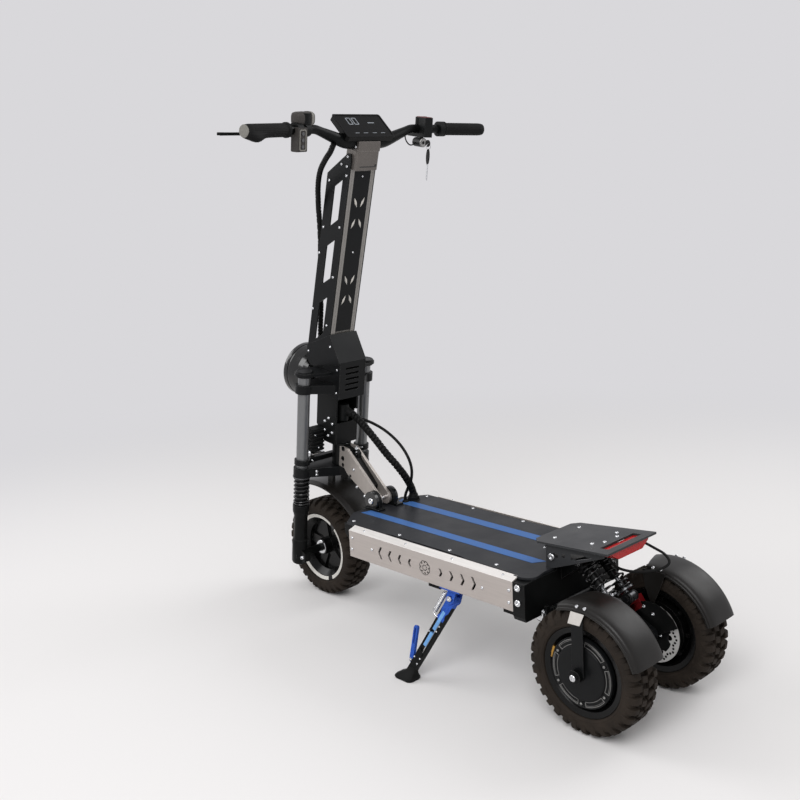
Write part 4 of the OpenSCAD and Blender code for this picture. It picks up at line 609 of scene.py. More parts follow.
FIELD_LOW, FIELD_HIGH = 36.6, 38
SCREW_RING = 68.6
DISC_LOW, DISC_HIGH = -55.6, -51.4
for hub, body in ((REAR_LEFT, "rear_wheel_left"), (REAR_RIGHT, "rear_wheel_right")):
    cover = Form().lathe([
        (9.5, 40), (9.5, 43), (20, 43), (21.5, 42), (57, 42), (60, 41.2), (61.4, 39.4), (61.8, 37),
        (75.6, 37), (76, 38.2), (77.6, 38.2), (78.6, 36.6), (78.6, 27)], hub, 72)
    frames, bolts, holes = Form(), Form(), Form()
    for a in around(6):
        boss = hub @ turn(a + 30, "Z") @ move(SCREW_RING, 0, 0)
        cover.lathe([(6.4, 36), (6.4, 39), (5.4, 39.8), (0, 39.8)], boss, 20)
        for first, sweep, low, high in (
                (38, 44, 73.6, 74.5), (40, 40, 71, 71.5), (38, 44, 63, 63.8), (38, 0.8, 63.4, 74),
                (81.2, 0.8, 63.4, 74)):
            frames.lathe([(low, FIELD_LOW), (high, FIELD_LOW), (high, FIELD_HIGH), (low, FIELD_HIGH)],
                         hub, 12, True, a + first, sweep)
        frames.screw(boss @ move(0, 0, 39.8), 6, 2.4)
        bolts.screw(spot(24, 0, DISC_LOW, hub @ turn(a, "Z"), "-z"), 7, 3)
    cover.build(body + "_cover", body, plate, 0.5, 1)
    frames.build(body + "_frames", body, trim)
    valve = hub @ turn(-18, "Z") @ move(82, 0, 31.5) @ turn(90, "X")
    stem = [(0, -15), (3, -15), (3.6, -14), (3.6, -5), (4.7, -4), (4.7, 11), (3.6, 14), (0, 14.4)]
    Form().lathe(stem, valve, 18).build(body + "_valve", body, brass)
    spider = Form().lathe([
        (14, DISC_HIGH), (50, DISC_HIGH), (51, DISC_HIGH - 1), (51, DISC_LOW + 1), (50, DISC_LOW),
        (14, DISC_LOW)], hub, 96, True, shape=scalloped)
    spider.build(body + "_disc_carrier", body, metal_black)
    bolts.build(body + "_disc_bolts", body, steel)
    # Dark dots through the disc, painted shade standing for more drilled openings
    for k, a in enumerate(around(48)):
        at = hub @ turn(a, "Z") @ move((63, 60, 57, 60)[k % 4], 0, 0)
        holes.lathe([(0, -55.2), (2.9, -55.2), (2.9, -51.8), (0, -51.8)], at, 14)
    holes.build(body + "_disc_holes", body, shade)

# Rear fenders: beaded shells, cut on a slant in front, with stays and tabs outside and hangers inside
flange = [(144, 50.6), (147.6, 50.6), (148.8, 48.2), (151, 48), (154.4, 46.6), (156.8, 43), (158.4, 38),
          (159.6, 28), (160, 14)]
section = flange + [(160, 0)] + [(r, -y) for r, y in reversed(flange)]
section += [(r - 3, y * 0.94) for r, y in reversed(section)]
CUT_X, CUT_SLANT = 35.7, 19 / 51
REAR_END = 160
loops = []
for k in range(33):
    loop = []
    for r, y in section:
        front = math.degrees(math.acos((CUT_X + CUT_SLANT * y) / r))
        a = math.radians(front + (REAR_END - front) * k / 32)
        loop.append((r * math.cos(a), y, r * math.sin(a)))
    loops.append(loop)
shells = Form().loft(loops, FENDER).mirror().build("rear_fender_shells", "arm", fender, 0.8, 2, 50)
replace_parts(shells, "rear_fenders")
STAY_IN, STAY_OUT = 188, 191.2
stay = arc(15, range(180, 361, 15)) + [(14.4, 140), (-14.4, 140)]
stays = Form().across(stay, STAY_IN, STAY_OUT, REAR_AXLE).mirror()
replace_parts(stays.build("rear_fender_stays", "arm", plate, 0.6), "rear_fenders")
tab = [(22.32, 112), (-8.18, 113.5), (-20.18, 141.5), (13.82, 141)]
tabs = Form().across(tab, STAY_OUT, STAY_OUT + 2.2, REAR_AXLE)
tabs.mirror().build("fender_stay_tabs", "arm", pale_metal, 0.5)
screws = Form()
for x in (2, -18):
    for side in (1, -1):
        screws.screw(FENDER @ move(x, 47.4 * side, 154.6) @ turn(-58 * side, "X"), 8, 3)
screws.lathe([(7.4, 0), (7.4, 2), (6.4, 3), (3.4, 3), (3, 2), (0, 2)], spot(0, 207, 0, REAR_AXLE), 28)
screws.mirror().build("fender_screws", "arm", steel)
arch = arc(76, (62, 80, 100, 120, 140, 156))
mounts = Form().across([(20, -8), (46, 30), (60, 50)] + arch + [(-40, 14), (-22, 2)], 78, 81, REAR_AXLE)
mounts.mirror().build("caliper_mounts", "arm", metal_black, 1)
hangers = Form().across([(20, 104), (28, 147), (-32, 147), (-18, 106), (-4, 72), (8, 72)], 88, 90, REAR_AXLE)
hangers.mirror().build("fender_hangers", "arm", fender, 0.6)


def fasten(name, body, d, h, places, at=WORLD, face="+y", both=True):
    """Steel screws at places of a frame, and on both sides of the part unless told otherwise."""
    form = Form()
    for place in places:
        form.screw(spot(*place, at, face), d, h)
    if both:
        form.mirror()
    form.build(name, body, steel)


fasten("caliper_mount_bolts", "arm", 9, 4, [(-8, 78, 50), (16, 78, 62)], REAR_AXLE, "-y")

# Deck: grip stripes, screws, vents with painted shade for their slots, and rubber strips
stripes = Form()
for inner, outer in ((46.5, 75), (-48, -78)):
    stripes.prism([(-322, inner), (280, inner), (288, outer), (-303, outer)], DECK_TOP - 0.2, DECK_TOP + 0.5)
stripes.build("grip_stripes", "deck", blue_film)
fasten("deck_top_screws", "deck", 9, 2.6, [(x, 135, DECK_TOP) for x in (249, 74, -100, -248)], face="+z")
fasten("panel_screws", "deck", 8.4, 2.8, [
    (x, PANEL_FACE, z)
    for x, z in ((211, 278), (214, 247), (-319, 274), (-318, 245), (136, 263), (-239, 259))])
fasten("panel_edge_screws", "deck", 7.4, 2.4, [(x, 164, 300) for x in (175, 22, -136, -293)], face="bevel")
corner = [(-312.8, 150), (-318, 157.5)] + arc(29, range(90, 181, 10), -335, 128.5)
corner += [(-357.9, 100), (-357.9, 115)]
corners = Form().prism(corner, DECK_TOP - 6, DECK_TOP).mirror()
corners.build("deck_plate_corners", "deck", grip_plate, 0.8)
rings = Form()
for z in (286, 250.6):
    rings.lathe([(8, -0.4), (8, 3.4), (7, 4.6), (4.6, 4.6), (4, 3.8), (4, 0.8), (0, 0.8)],
                spot(-345, PANEL_FACE, z), 32)
rings.nut(spot(-350.82, 108, 205), 26, 5, 16).mirror().build("corner_bolts", "deck", steel)
# Pale strips along the top bends of the side panels, a painted highlight
edges = Form().across([(-328.6, 0), (223, 0), (223, 0.5), (-328.6, 0.5)], -22.6, 0.6,
                      spot(0, PANEL_FACE, PANEL_BEND, face="bevel"))
edges.mirror().build("panel_bright_edges", "deck", bright_edge, 0.2, 1)
# Flat gloss-black arcs on the panel faces, painted shade of the vent slots
vents = Form()
for a in around(8):
    for low, high, first, sweep in ((16.6, 18.2, 4, 37), (5, 8, 8, 29)):
        vents.lathe([(low, -0.2), (high, -0.2), (high, 0.3), (low, 0.3)],
                    spot(-52.82, PANEL_FACE, 261), 6, True, a + first, sweep)
vents.mirror().build("panel_vent_slots", "deck", gloss_black)
pads = Form()
for back, front in ((-96, -56), (-340, -294)):
    for y in (153, 158.4, 163.8):
        pads.block((back, y, 214), (front, y + 4, 226.4))
pads.mirror().build("deck_side_pads", "deck", rubber, 0.6)

# Carrier and its gussets, with the shade of their openings painted on
fasten("carrier_screws", "deck", 9, 3, [(-39, 45, 5), (-143, 46, 5), (-160, 23, 5)], CARRIER, "+z")
bolts = Form().lathe([(8.6, 0), (8.6, 2.6), (7.6, 3.6), (4.4, 3.6), (3.8, 2.8), (3.8, 0.6), (0, 0.6)],
                     spot(-360, GUSSET_FACE, 332), 32)
bolts.screw(spot(-343, GUSSET_FACE, 352), 7).mirror().build("gusset_bolts", "deck", steel)
# Flat dark discs and a window on the gusset faces, painted shade where the openings are
dark = Form()
for x, z, radius in ((-373.6, 339, 5.4), (-393.6, 342.8, 4.6)):
    dark.lathe([(radius, -0.1), (radius, 0.35), (0, 0.35)], spot(x, GUSSET_FACE, z), 24)
window = [(-413, 352.4), (-413.6, 338), (-451, 354), (-449, 356)]
dark.across(window, GUSSET_FACE - 0.1, GUSSET_FACE + 0.3)
dark.mirror().build("gusset_openings", "deck", gloss_black)

# Neck: pivot caps, screws, dark discs painted as the shade of its openings, and the fitting behind its top
caps = Form().lathe([(26, -4), (26, 6.4), (24.6, 7.8), (11, 7.8), (10, 6.8), (0, 6.6)], PIVOT, 48)
caps.mirror().build("pivot_caps", "deck", gloss_black)
bolts = Form().lathe([
    (9, 6.4), (9, 9), (7.8, 10.4), (3.8, 10.4), (3.2, 9.6), (3.2, 7.4), (0, 7.4)], PIVOT, 36)
bolts.mirror().build("pivot_bolts", "deck", steel)
fasten("neck_screws", "neck", 9, 3.4, [(x, NECK_FACE, z) for x, z in ((372, 397), (363, 349), (332, 329))])
# Flat dark discs where the plates have openings, painted shade
plugs = Form()
for x, z, r in ((413, 450, 7), (417, 422, 7), (418.4, 403, 5.8), (389, 376, 4.4), (350, 339, 4.4)):
    plugs.lathe([(r, -0.4), (r, 0.12), (r - 0.4, 0.2), (r - 1.2, 0.2), (r - 1.6, 0.1), (0, 0.1)],
                spot(x, NECK_FACE, z), 24)
plugs.mirror().build("neck_plugs", "neck", gloss_black)
latch = Form().across([(398, 447), (384, 447), (376, 438), (376, 424), (384, 428)], -14, 0)
latch.build("neck_latch", "neck", metal_black, 0.6)
latch = Form().nut(spot(389, -7, 447, face="+z"), 9, 5, 5).screw(spot(381, 0, 441), 6, 3)
latch.tube([(388, -7, 454), (378, -9, 454.6), (366, -10, 456)], 1.6)
latch.tube([(381, -14.5, 434), (381, 2, 434)], 2)
latch.build("neck_latch_bolts", "neck", steel)

# Head box, open behind and notched on the right, with room for the cords as the steering turns
flank = [(-17, 333), (30, 333), (65, 376), (65, 484), (-17, 484)]
notch = [(-17, 426), (-8, 425), (-4, 422), (-3, 415), (2, 413), (4, 410), (4, 402), (2, 399), (-17, 399)]
nose = [(30, 333), (65, 376), (65, 484), (59, 484), (59, 378), (24.5, 335.6), (22.4, 333)]
bottom = [(-11, 333), (22.4, 333), (24.5, 335.6), (32.1, 345), (-11, 345)]
shell = Form().across(flank, BOX_WALL, BOX_FACE, STEER).across(flank + notch, -BOX_FACE, -BOX_WALL, STEER)
for outline in (nose, bottom):
    shell.across(outline, -BOX_WALL, BOX_WALL, STEER)
for low, high in ((333, 394), (470, 484)):
    shell.block((-17, -BOX_WALL, low), (-11, BOX_WALL, high), STEER)
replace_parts(shell.build("head_box_shell", "steering", satin, 0.6), "head_box")
post = Form().lathe([
    (16.4, 345), (16.4, 351), (11, 354), (11, 392), (15.4, 396), (16.8, 398), (16.8, 440), (15, 443),
    (0, 444)], STEER, 72)
post.build("cord_hub", "steering", plastic, 0.4, 1)
fasten("head_box_bolts", "steering", 9.4, 4, [
    (11.5 + x, BOX_FACE, 379.5 + z)
    for x, z in ((0, 26), (0, -26), (16, 13), (16, -13), (-16, 13), (-16, -13))], STEER)

# Hood, crowns and the box beside the left leg
fasten("hood_screws", "steering", 7, 2.6, [(-11, 48, -28), (76, 48, -72)], COLUMN)
fasten("crown_bolts", "steering", 9, 5, [(31, 82, 283), (8, 83, 248), (8, 83, 258)], STEER, "-x")
cheek = [(-33, 470), (18, 470), (33, 504), (34, 552), (-34, 573)]
cheeks = Form().across(cheek, CHEEK_FACE - 3, CHEEK_FACE, STEER).mirror()
cheeks.build("hood_cheeks", "steering", plate, 0.5)
fasten("hood_cheek_screws", "steering", 7, 2.6, [(-23, CHEEK_FACE, z) for z in (553, 488)], STEER)
# Dark block behind the louvre slots, painted shade inside the hood
Form().block((-29.6, -41, 474), (-28.2, 41, 570), STEER).build("louvre_backing", "steering", shade, 0.3, 1)
tops = Form().prism(arc(27, range(0, 181, 12), FORK_X, FORK_Y) + [(-2, 47), (70, 47)], 534, 542, STEER)
tops.lathe([(24, 541), (24, 545), (22.6, 546.6), (18.4, 546.6), (17.4, 545.4), (0, 545.4)], FORK_LEG, 48)
tops.mirror().build("crown_top_plates", "steering", plate, 1.2)
box = Form().prism(rounded(30, 40, 4), 306, 372, STEER @ move(44, 61, 0))
for k in range(6):
    box.prism(rounded(34 if k == 5 else 36, 44, 3), 308 + 11 * k, 313 + 11 * k, STEER @ move(44, 62, 0))
box.build("converter_box", "steering", plastic, 0.8)
bracket = Form().block((27, 39, 299), (60, 84, 302), STEER).block((40, 66, 288), (56, 80, 306), STEER)
bracket.screw(spot(36, 76, 299, STEER, "-z"), 8).screw(spot(27, 62, 318, STEER, "-x"), 7)
bracket.screw(spot(29, 74, 356, STEER, "-x"), 7)
bracket.build("converter_bracket", "steering", steel, 0.5)

# Column: slim channelled extrusion, pale leaves in the crosses, and the clamp on top
RAIL_TOP = 450
rail = [(0, 27.5), (0, 31), (1.4, 31.8), (1.4, 35), (0, 35.8), (0, 39.5), (1, 40.5), (27, 40.5)]
rails = Form().prism(mirrored(rail) + [(3.2, -27.5), (3.2, 27.5)], -124, RAIL_TOP, COLUMN)
for y in (-20, 0, 20):
    rails.block((26, y - 5, -100), (28.4, y + 5, RAIL_TOP - 1), COLUMN)
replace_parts(rails.build("column_extrusion", "steering", column_grey, 0.5), "column_rails")
leaf = [(0.6, y, z) for y, z in ((0, -17), (4.6, -3), (4.6, 3), (0, 17), (-4.6, 3), (-4.6, -3))]
leaf += [(-1, 0, 4), (-1, 0, -4)]
leaf_faces = [[0, 1, 7], [1, 2, 6, 7], [2, 3, 6], [3, 4, 6], [4, 5, 7, 6], [5, 0, 7]]
leaves = Form()
for z in (125.1, 335.25):
    for v in (1, -1):
        for h in (1, -1):
            at = COLUMN @ move(0, h * 11.5, z + v * 28) @ turn(-v * h * 24, "X")
            leaves.add(leaf, leaf_faces, at)
leaves.build("cover_leaves", "steering", leaf_silver, 0, 2, 8)
CLAMP_BACK = -14
base = [(29, 38)] + arc(9, range(90, 181, 15), CLAMP_BACK + 9, 29)
clamp = Form().prism(mirrored(base), RAIL_TOP, 499, COLUMN)
saddle = [(CLAMP_BACK, 498), (30, 498)] + arc(20, range(0, 166, 15), BAR_X, BAR_Z)
clamp.across(saddle + [(-12, 524), (CLAMP_BACK, BAR_Z)], -36, 36, COLUMN)
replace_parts(clamp.build("bar_clamp_block", "steering", clamp_grey, 0.8), "bar_clamp")
slits = Form().block((CLAMP_BACK - 0.3, -24, 458), (CLAMP_BACK + 0.2, 27, 460.4), COLUMN)
slits.lathe([(3.4, 0), (3.4, 0.4), (0, 0.4)], spot(CLAMP_BACK, -27, 462, COLUMN, "-x"), 20)
slits.build("clamp_slits", "steering", gloss_black)
fasten("clamp_screw", "steering", 8, 4, [(-4, 38, 508)], COLUMN, both=False)
fasten("column_screws", "steering", 7.4, 2.4, [
    (x, COLUMN_FACE, z)
    for x, z in ((13.7, 480), (34.4, 456), (13.2, 455), (10.6, 432), (74.8, 405), (77, 280), (13.4, 296),
                 (82, 208), (15.4, 160), (82, 50), (17.8, 23))], COLUMN)
fasten("cover_screws", "steering", 6, 2, [(0, 0, 229.5), (0, 0, 432)], COLUMN, "-x", False)

# Headlight: bezel, reflector and light sources behind the lens
bezel = [(75.4, 160), (76.6, 166), (76.6, 173), (75, 175.4), (71.4, 175.4), (70.6, 173)]
Form().lathe(bezel, LAMP, 72).build("headlight_bezel", "steering", gloss_black, 0.4, 1)
BOWL_R, BOWL_RIM = 71.5, 168
bowl = [(BOWL_R, BOWL_RIM)] + arc(BOWL_R, range(-6, -79, -8), 0, BOWL_RIM, 60) + [(0, 109)]
Form().lathe(bowl, LAMP, 60).build("headlight_reflector", "steering", mirror)
domes = Form()
for x, y in ((0, 0), (26, 0), (-26, 0), (0, 30), (0, -30)):
    domes.lathe([(11, 128), (11, 146), (9, 152), (5, 155), (0, 156)], LAMP @ move(x, y, 0), 24)
domes.build("headlight_sources", "steering", white_paint)

# Display: bezel, glass and unlit figures
bezel = Form().holed(rounded(84, 160, 6), rounded(74, 150, 5), -1, 1.3, DISPLAY)
bezel.build("display_bezel", "steering", display_black, 0.5)
Form().prism(rounded(75, 151, 5), -1, 0.35, DISPLAY).build("display_glass", "steering", display_black)
figures = Form()


def bar(x0, y0, x1, y1):
    figures.block((x0, y0, 0.3), (x1, y1, 0.5), DISPLAY)


def zero(x, y, w, h, t):
    """Six bars of a nought, its foot towards -x and its right towards -y."""
    for b in (y, y - w + t):
        bar(x + 0.5, b - t, x + h / 2 - 0.5, b)
        bar(x + h / 2 + 0.5, b - t, x + h - 0.5, b)
    for a in (x, x + h - t):
        bar(a, y - w + t + 0.6, a + t, y - t - 0.6)


for y in (45, 26):
    zero(4, y, 15, 25, 2.6)
bar(9, -42, 12, -20)
for y in (38, 10, -20, -48):
    bar(-27, y - 7, -25.4, y + 7)
figures.build("display_figures", "steering", digits)


# Grips: ribbed sleeves, the left one with a palm wing
def ribs(a, r, z):
    return r - (0.5 if math.sin(24 * a) > 0.3 and r < 17.5 else 0.0)


def winged(a, r, z):
    wing = math.exp(-((z - 193) / 26) ** 2) * max(0.0, math.cos(a - math.radians(129.7))) ** 6
    return ribs(a, r, z) + 13 * wing


def sleeve(first, count):
    return [(16.5, first - 2)] + [(16 + 0.4 * (k % 2), first + 4 * k) for k in range(count)] + [(15.6, 215)]


collar = [(11.8, 80.6), (18.4, 80.6), (18.4, 86), (17.6, 87)]
end = [(15, 221), (13.5, 222.2), (0, 222.2)]
grip = Form().lathe(collar + sleeve(90, 31) + end, GRIP_LEFT @ ALONG_Y, 96, shape=winged)
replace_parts(grip.build("left_grip_sleeve", "steering", rubber), "grip_left")
collar = [(11.8, 87.6), (19.4, 87.6), (19.4, 92.6), (18, 93.6)]
end = [(14.4, 220.4), (11, 222.2), (0, 222.6)]
grip = Form().lathe(collar + sleeve(97, 29) + end, GRIP_RIGHT @ ALONG_Y, 96, shape=ribs)
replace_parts(grip.build("throttle_sleeve", "throttle", rubber), "throttle_grip")
cap = Form().lathe([(14.4, 219), (15.2, 221.4), (13.8, 223.6), (0, 224.2)], GRIP_LEFT @ ALONG_Y, 36)
cap.build("grip_end_cap", "steering", grey_plastic)


# Handlebar, thick in the middle and slimmer towards the controls
def bend(a, b, c, cut):
    """Round corner at b between a and c, that starts and ends the cut away from it."""
    first, last = b + (a - b).normalized() * cut, b + (c - b).normalized() * cut
    return [first.lerp(b, t).lerp(b.lerp(last, t), t) for t in (0, 0.2, 0.4, 0.6, 0.8, 1)]


def swell(y):
    """Radius of the bar so far from its middle."""
    return 15.9 - 4.8 * min(1.0, max(0.0, (abs(y) - 78) / 72)) ** 1.2


turns = [Vector(p) for p in (
    (0, 0, 0), (0, 61, 0), (0, 160, BAR_RISE), (0, BAR_KINK, BAR_RISE), (-36.7, 386, BAR_RISE))]
half = [turns[0], Vector((0, 30, 0))]
for q in bend(*turns[:3], 14) + bend(*turns[1:4], 8) + bend(*turns[2:], 8) + turns[-1:]:
    steps = max(1, int((q - half[-1]).length / 12))
    start = half[-1]
    half += [start.lerp(q, k / steps) for k in range(1, steps + 1)]
line = [Vector((q.x, -q.y, q.z)) for q in reversed(half[1:])] + half
middle = sum((b - a).length for a, b in zip(half, half[1:]))
tube = Form().tube(line, 0.0, BAR, 28, lambda a, along: swell(along - middle))
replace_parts(tube.build("handlebar_tube", "steering", metal_black), "handlebar")

# Brake levers with forked tips, and the housings on the bar
blade = [(40, 13), (46, 11.5), (53, 14), (57, 28), (59.5, 46), (62, 80), (64, 120), (66.5, 162), (71.5, 192),
         (78, 212), (80.5, 226), (80, 229), (77.6, 229), (76.4, 217), (74, 213.5), (71.6, 217), (71.8, 229),
         (68.8, 229), (67.6, 219), (64.5, 200), (59.5, 176), (57, 160), (54.5, 120), (52.5, 80), (49.5, 46),
         (46, 30), (39, 24)]
for grip, tag in ((GRIP_LEFT, "left"), (GRIP_RIGHT, "right")):
    lever = Form().prism(blade, -15.5, -8.5, grip)
    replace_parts(lever.build("lever_blade_" + tag, "lever_" + tag, metal_black, 1.6), "brake_lever_" + tag)
    fasten("lever_bolt_" + tag, "steering", 9, 4, [(46, 20, -1)], grip, "+z", False)


def squared(a, r, z):
    return r / (abs(math.cos(a)) ** 3.4 + abs(math.sin(a)) ** 3.4) ** (1 / 3.4)


tank = Form().lathe([
    (0, -31), (11, -30.4), (14.6, -27), (16, -20), (16.6, 0), (16, 20), (14.6, 27), (11, 30.4), (0, 31)],
    TANK, 40, shape=squared)
tank.build("brake_reservoir", "steering", pod_grey)
band = Form().lathe([(15.6, -24), (16.8, -22), (17.2, -18), (16.9, -14)], TANK, 40, shape=squared)
band.build("reservoir_band", "steering", grey_plastic)
lid = Form().prism(rounded(44, 22, 3), 30, 31.4, GRIP_RIGHT @ move(-11, 20, 0))
lid.build("switch_box_lid", "steering", button_red, 0.4)
pod = Form().prism(shifted(rounded(23.2, 57.4, 4), -9, 22), 29.4, 62.6, GRIP_LEFT @ ALONG_Y)
pod.build("switch_pod_shell", "steering", pod_grey, 0.8)
pod = Form().holed(rounded(50, 24, 5), rounded(44, 18, 3), 0, 1.2, spot(-20.6, 46, -23, GRIP_LEFT, "-x"))
pod.build("switch_pod_frame", "steering", grey_plastic, 0.4)

# Keys with black heads
EYE_X = -49
collar = Form().lathe([(11.6, 23), (11.6, 25), (10.4, 26), (4.4, 26), (4, 25)], LOCK @ FACING["-x"], 36)
collar.build("lock_ring", "steering", trim)
key = Form().across([(-37, 3), (-8, 3), (-8, -3), (-37, -3)], -1, 1, LOCK)
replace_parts(key.build("key_blade", "lock_key", steel, 0.3, 1), "key")
key = Form().holed(arc(9.5, around(24), -45.5, 0, -9), arc(2.5, around(24), EYE_X, 0, -2.5), -1.7, 1.7,
                   LOCK @ ALONG_Y)
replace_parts(key.build("key_head", "lock_key", plastic, 0.5), "key")
spare = LOCK @ move(EYE_X, 0, 0)
key = Form().tube([(0, y, z) for y, z in arc(7, range(0, 361, 9), 0, -7.8)], 0.8, spare, 8)
key.across([(-2.6, -52), (2.6, -52), (2.4, -90), (0, -95.3), (-2, -94)], -0.8, 0.8, spare)
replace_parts(key.build("spare_key_blade", "hanging_key", steel), "spare_key")
key = Form().holed(arc(6.5, around(32), 0, 33.5, -20), arc(2, around(32), 0, 17.6, -2), -1.6, 1.6,
                   spare @ ALONG_Y)
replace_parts(key.build("spare_key_head", "hanging_key", plastic, 0.5), "spare_key")

# Kickstand: twin rails with a slider between them, clevis, tab and rubber foot; the pale blue over the
# clevis is a painted highlight
rails = Form()
for s in (1, -1):
    rails.across([(s * 14, -16), (s * 6.4, -16), (s * 5.6, -160), (s * 12, -160)], -7, 7, LEG)
rails.across([(-12.2, -150), (12.2, -150), (11.4, -204), (-11.4, -204)], -7, 7, LEG)
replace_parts(rails.build("stand_rails", "stand", metal_black, 1.2), "kickstand_leg")
waist = [(-13.4, -34), (-9.6, -41), (-9.6, -47), (-13, -51), (-12.4, -60)]
waist += [(-x, z) for x, z in reversed(waist)]
clevis = Form().across(arc(14, range(0, 181, 15)) + waist, -7.2, 7.2, LEG)
tab = LEG @ move(16, 0, -186) @ turn(-60.8, "Y") @ ALONG_Y
clevis.holed(shifted(rounded(88, 13, 6.2), 38), shifted(rounded(38, 5, 2.4), 56), -4, 4, tab)
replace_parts(clevis.build("stand_blue_parts", "stand", blue_metal, 1), "kickstand_leg")
# Pale blue slider in two blocks between the rails, with a strip on its face; where the blocks and the strip
# lie over the clevis they are a painted highlight
slider = Form()
for low, high in ((-88, -36), (-134, -96)):
    slider.block((-5.2, -6.4, low), (5.2, 7.6, high), LEG)
slider.block((-2.6, 7, -84), (2.6, 8.4, -42), LEG).build("stand_slider", "stand", pale_blue, 0.9)


def on_leg(x, y, z):
    """Point of the leg, in millimetres of the whole part."""
    return LEG @ (Vector((x, y, z)) * MM) / MM


FOOT_REACH = 229.5
LEG_SLOPE = 0.854
ground = on_leg(0, 0, -FOOT_REACH)
foot = []
for height, width, deep, lean in (
        (0.5, 58, 42, 0), (5, 60, 44, 0), (10, 54, 38, 0.3), (15, 41, 29, 0.7), (21, 29, 20, 1)):
    upright = Vector((ground.x + 3, ground.y - 4, height))
    centre = upright.lerp(on_leg(0, 0, height / LEG_SLOPE - FOOT_REACH), lean)
    foot.append([centre + Vector((x, y, 0)) for x, y in rounded(width, deep, 0.3 * deep)])
foot.append([on_leg(x, y, -196) for x, y in rounded(25, 16.6, 5)])
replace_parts(Form().loft(foot).build("stand_foot", "stand", rubber, 0.6), "kickstand_leg")
fasten("stand_rivets", "stand", 5, 2, [
    (x, 7, z)
    for x, z in ((9.4, -98), (-9.8, -72), (-9.6, -86), (9, -172), (-8.8, -166), (-8.6, -180))],
    LEG, both=False)
# Pale metal strips on the face of the rails, along their edges
strips = Form().block((-6.6, 6.8, -150), (-5.6, 7.5, -64), LEG)
strips.block((11.2, 6.8, -158), (12, 7.5, -138), LEG).build("stand_bare_edges", "stand", trim, 0.2, 1)
fasten("stand_bolts", "stand", 9, 4, [(16, 4, -186)], LEG, both=False)
fasten("stand_pin_bolts", "deck", 15, 5, [(0, 15.2, 0)], STAND, both=False)
spring = coil(Form(), LEG @ move(24, 9, 0), -52, 4, 11, 2.1, 22, 14)
spring.tube([(24, 9, 4), (24, 9, 8), (18, 9, 10), (9, 7, 9)], 1.2, LEG, 8)
spring.tube([(24, 9, -52), (24, 9, -56), (17, 8, -58), (10, 6, -58)], 1.2, LEG, 8)
spring.build("stand_spring", "stand", steel)

# Front wheel: pale arcs on the rim and bearing covers
arcs, covers = Form(), Form()
for s in (1, -1):
    for a in around(3, 6):
        arcs.lathe([(88.6, 33.4 * s), (98.4, 35.9 * s), (98.4, 36.5 * s), (88.6, 34.1 * s)],
                   FRONT_WHEEL, 40, True, a, 108)
    covers.lathe([(12, 34 * s), (12, 35.4 * s), (19, 35.4 * s), (20, 34.6 * s), (20, 33 * s)],
                 FRONT_WHEEL, 40)
arcs.build("front_rim_arcs", "front_wheel", white_paint)
covers.build("front_bearing_covers", "front_wheel", steel)

# Fork: waisted legs with clamps under them, smooth tubes, guards inside the springs and bands over them
jaw = [(-36, 14), (-18, 20), (-8, 16), (-8, -16), (-18, -18), (-36, -12)]
clamps = Form().across(jaw, -11, 11, FORK_LEG)
clamps.lathe([(22.4, -20), (20, -25), (14, -29), (0, -31)], FORK_LEG, 36)
clamps.mirror().build("axle_clamps", "fork_lower", metal_black, 1.2)
legs = Form().lathe([
    (18.5, 110), (18.5, 154.4), (18.8, 155), (22.6, 155), (23.5, 154), (23.5, 136), (22.6, 132), (19.8, 122),
    (19.2, 117), (19, 90), (19, 51), (19.8, 48.4), (22, 47.6), (22.5, 46.6), (22.5, -20), (20, -25),
    (0, -26)], FORK_LEG, 48).mirror()
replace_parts(legs.build("fork_leg_shells", "fork_lower", metal_black), "fork_lowers")
tubes = Form().lathe([(16.6, 66), (16.9, 67), (16.9, 529), (16, 530), (0, 530)], FORK_LEG, 56).mirror()
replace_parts(tubes.build("stanchion_tubes", "steering", stanchion), "fork_tubes")
skirts = Form().lathe([(17.2, 154), (17.7, 154), (17.7, 192), (17.2, 193)], FORK_LEG, 36)
skirts.mirror().build("fork_skirts", "fork_lower", metal_black)
bands = Form().lathe([(24.2, 237.6), (25.2, 237.6), (25.2, 240.6), (24.2, 240.6)], FORK_LEG, 40, True)
bands.mirror().build("fork_bands", "steering", dark_steel)
guards = Form().lathe([(17.2, 186), (18, 186.6), (18, 240), (17.2, 240)], FORK_LEG, 36)
guards.mirror().build("fork_guards", "steering", metal_black)
fasten("axle_clamp_bolts", "fork_lower", 12, 6, [(-27, 11, 1)], FORK_LEG)

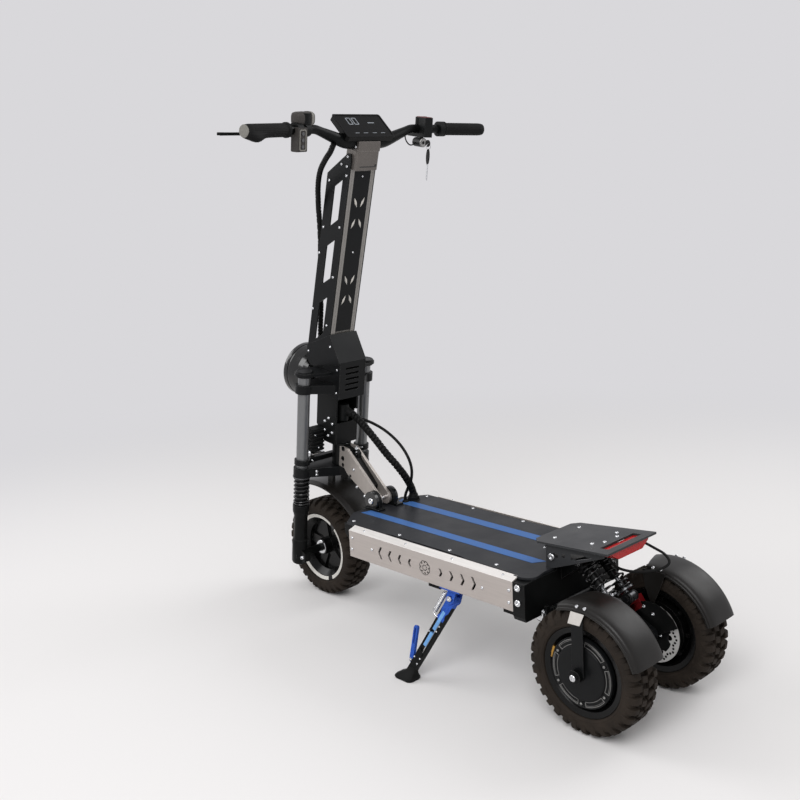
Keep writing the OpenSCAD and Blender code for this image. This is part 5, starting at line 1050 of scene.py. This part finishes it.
# Camera at the photograph's place
EYE = (-1.7526, 1.7991, 1.1717)
AZIMUTH, FALL, ROLL = -42.76557, 11.93471, -2.96792
camera = bpy.data.objects.new("camera", bpy.data.cameras.new("camera"))
scene.collection.objects.link(camera)
scene.camera = camera
camera.data.sensor_width = 36.0
camera.data.lens = 46.692
gaze = turn(AZIMUTH - 90, "Z") @ turn(90 - FALL, "X") @ turn(ROLL, "Z")
camera.matrix_world = Matrix.Translation(EYE) @ gaze

# Surroundings: an even sky that lights the part, and a plain pale one wherever it is seen
backdrop = linear("#d9d8db")
world = bpy.data.worlds.new("studio")
scene.world = world
add = shading(world)
seen = add("LightPath", out="Is Camera Ray")
rays = seen.node.outputs
for kind in ("Is Glossy Ray", "Is Transmission Ray"):
    seen = add("Math", {0: seen, 1: rays[kind]}, operation="MAXIMUM")
sky = add("Background", {"Color": (1, 1, 1, 1), "Strength": 0.5})
plain = add("Background", {"Color": backdrop})
add("OutputWorld", {0: add("MixShader", {0: seen, 1: sky, 2: plain})})

# Floor that fades into the backdrop, by distances in metres
FADE_START, FADE_END = 1.1, 3.4
cloth = bpy.data.materials.new("pale_floor")
add = shading(cloth)
away = add("VectorMath", {0: add("TexCoord", out="Object")}, "Value", operation="LENGTH")
far = add("MapRange", {"Value": away, "From Min": FADE_START, "From Max": FADE_END},
          interpolation_type="SMOOTHSTEP")
matt = add("BsdfDiffuse", {"Color": linear("#ebe9e9")})
glow = add("Emission", {"Color": backdrop})
add("OutputMaterial", {0: add("MixShader", {0: far, 1: matt, 2: glow})})
floor = Form().lathe([(0, 0), (2000, 0), (6000, 0), (40000, 0)], sides=64).build("floor", None, cloth)


# Lights
def soft_light(name, place, size, power):
    lamp = bpy.data.objects.new(name, bpy.data.lights.new(name, "AREA"))
    lamp.data.size = size
    lamp.data.energy = power
    lamp.location = place
    lamp.rotation_euler = (Vector((0, 0, 0.4)) - Vector(place)).to_track_quat("-Z", "Y").to_euler()
    scene.collection.objects.link(lamp)


soft_light("key", (-1.6, 2.6, 3.2), 2.4, 84)
soft_light("fill", (2.8, 1.4, 2.4), 2.0, 35)
soft_light("rim", (-1.2, -3.0, 2.6), 2.2, 40)
scene.view_settings.view_transform = "Standard"
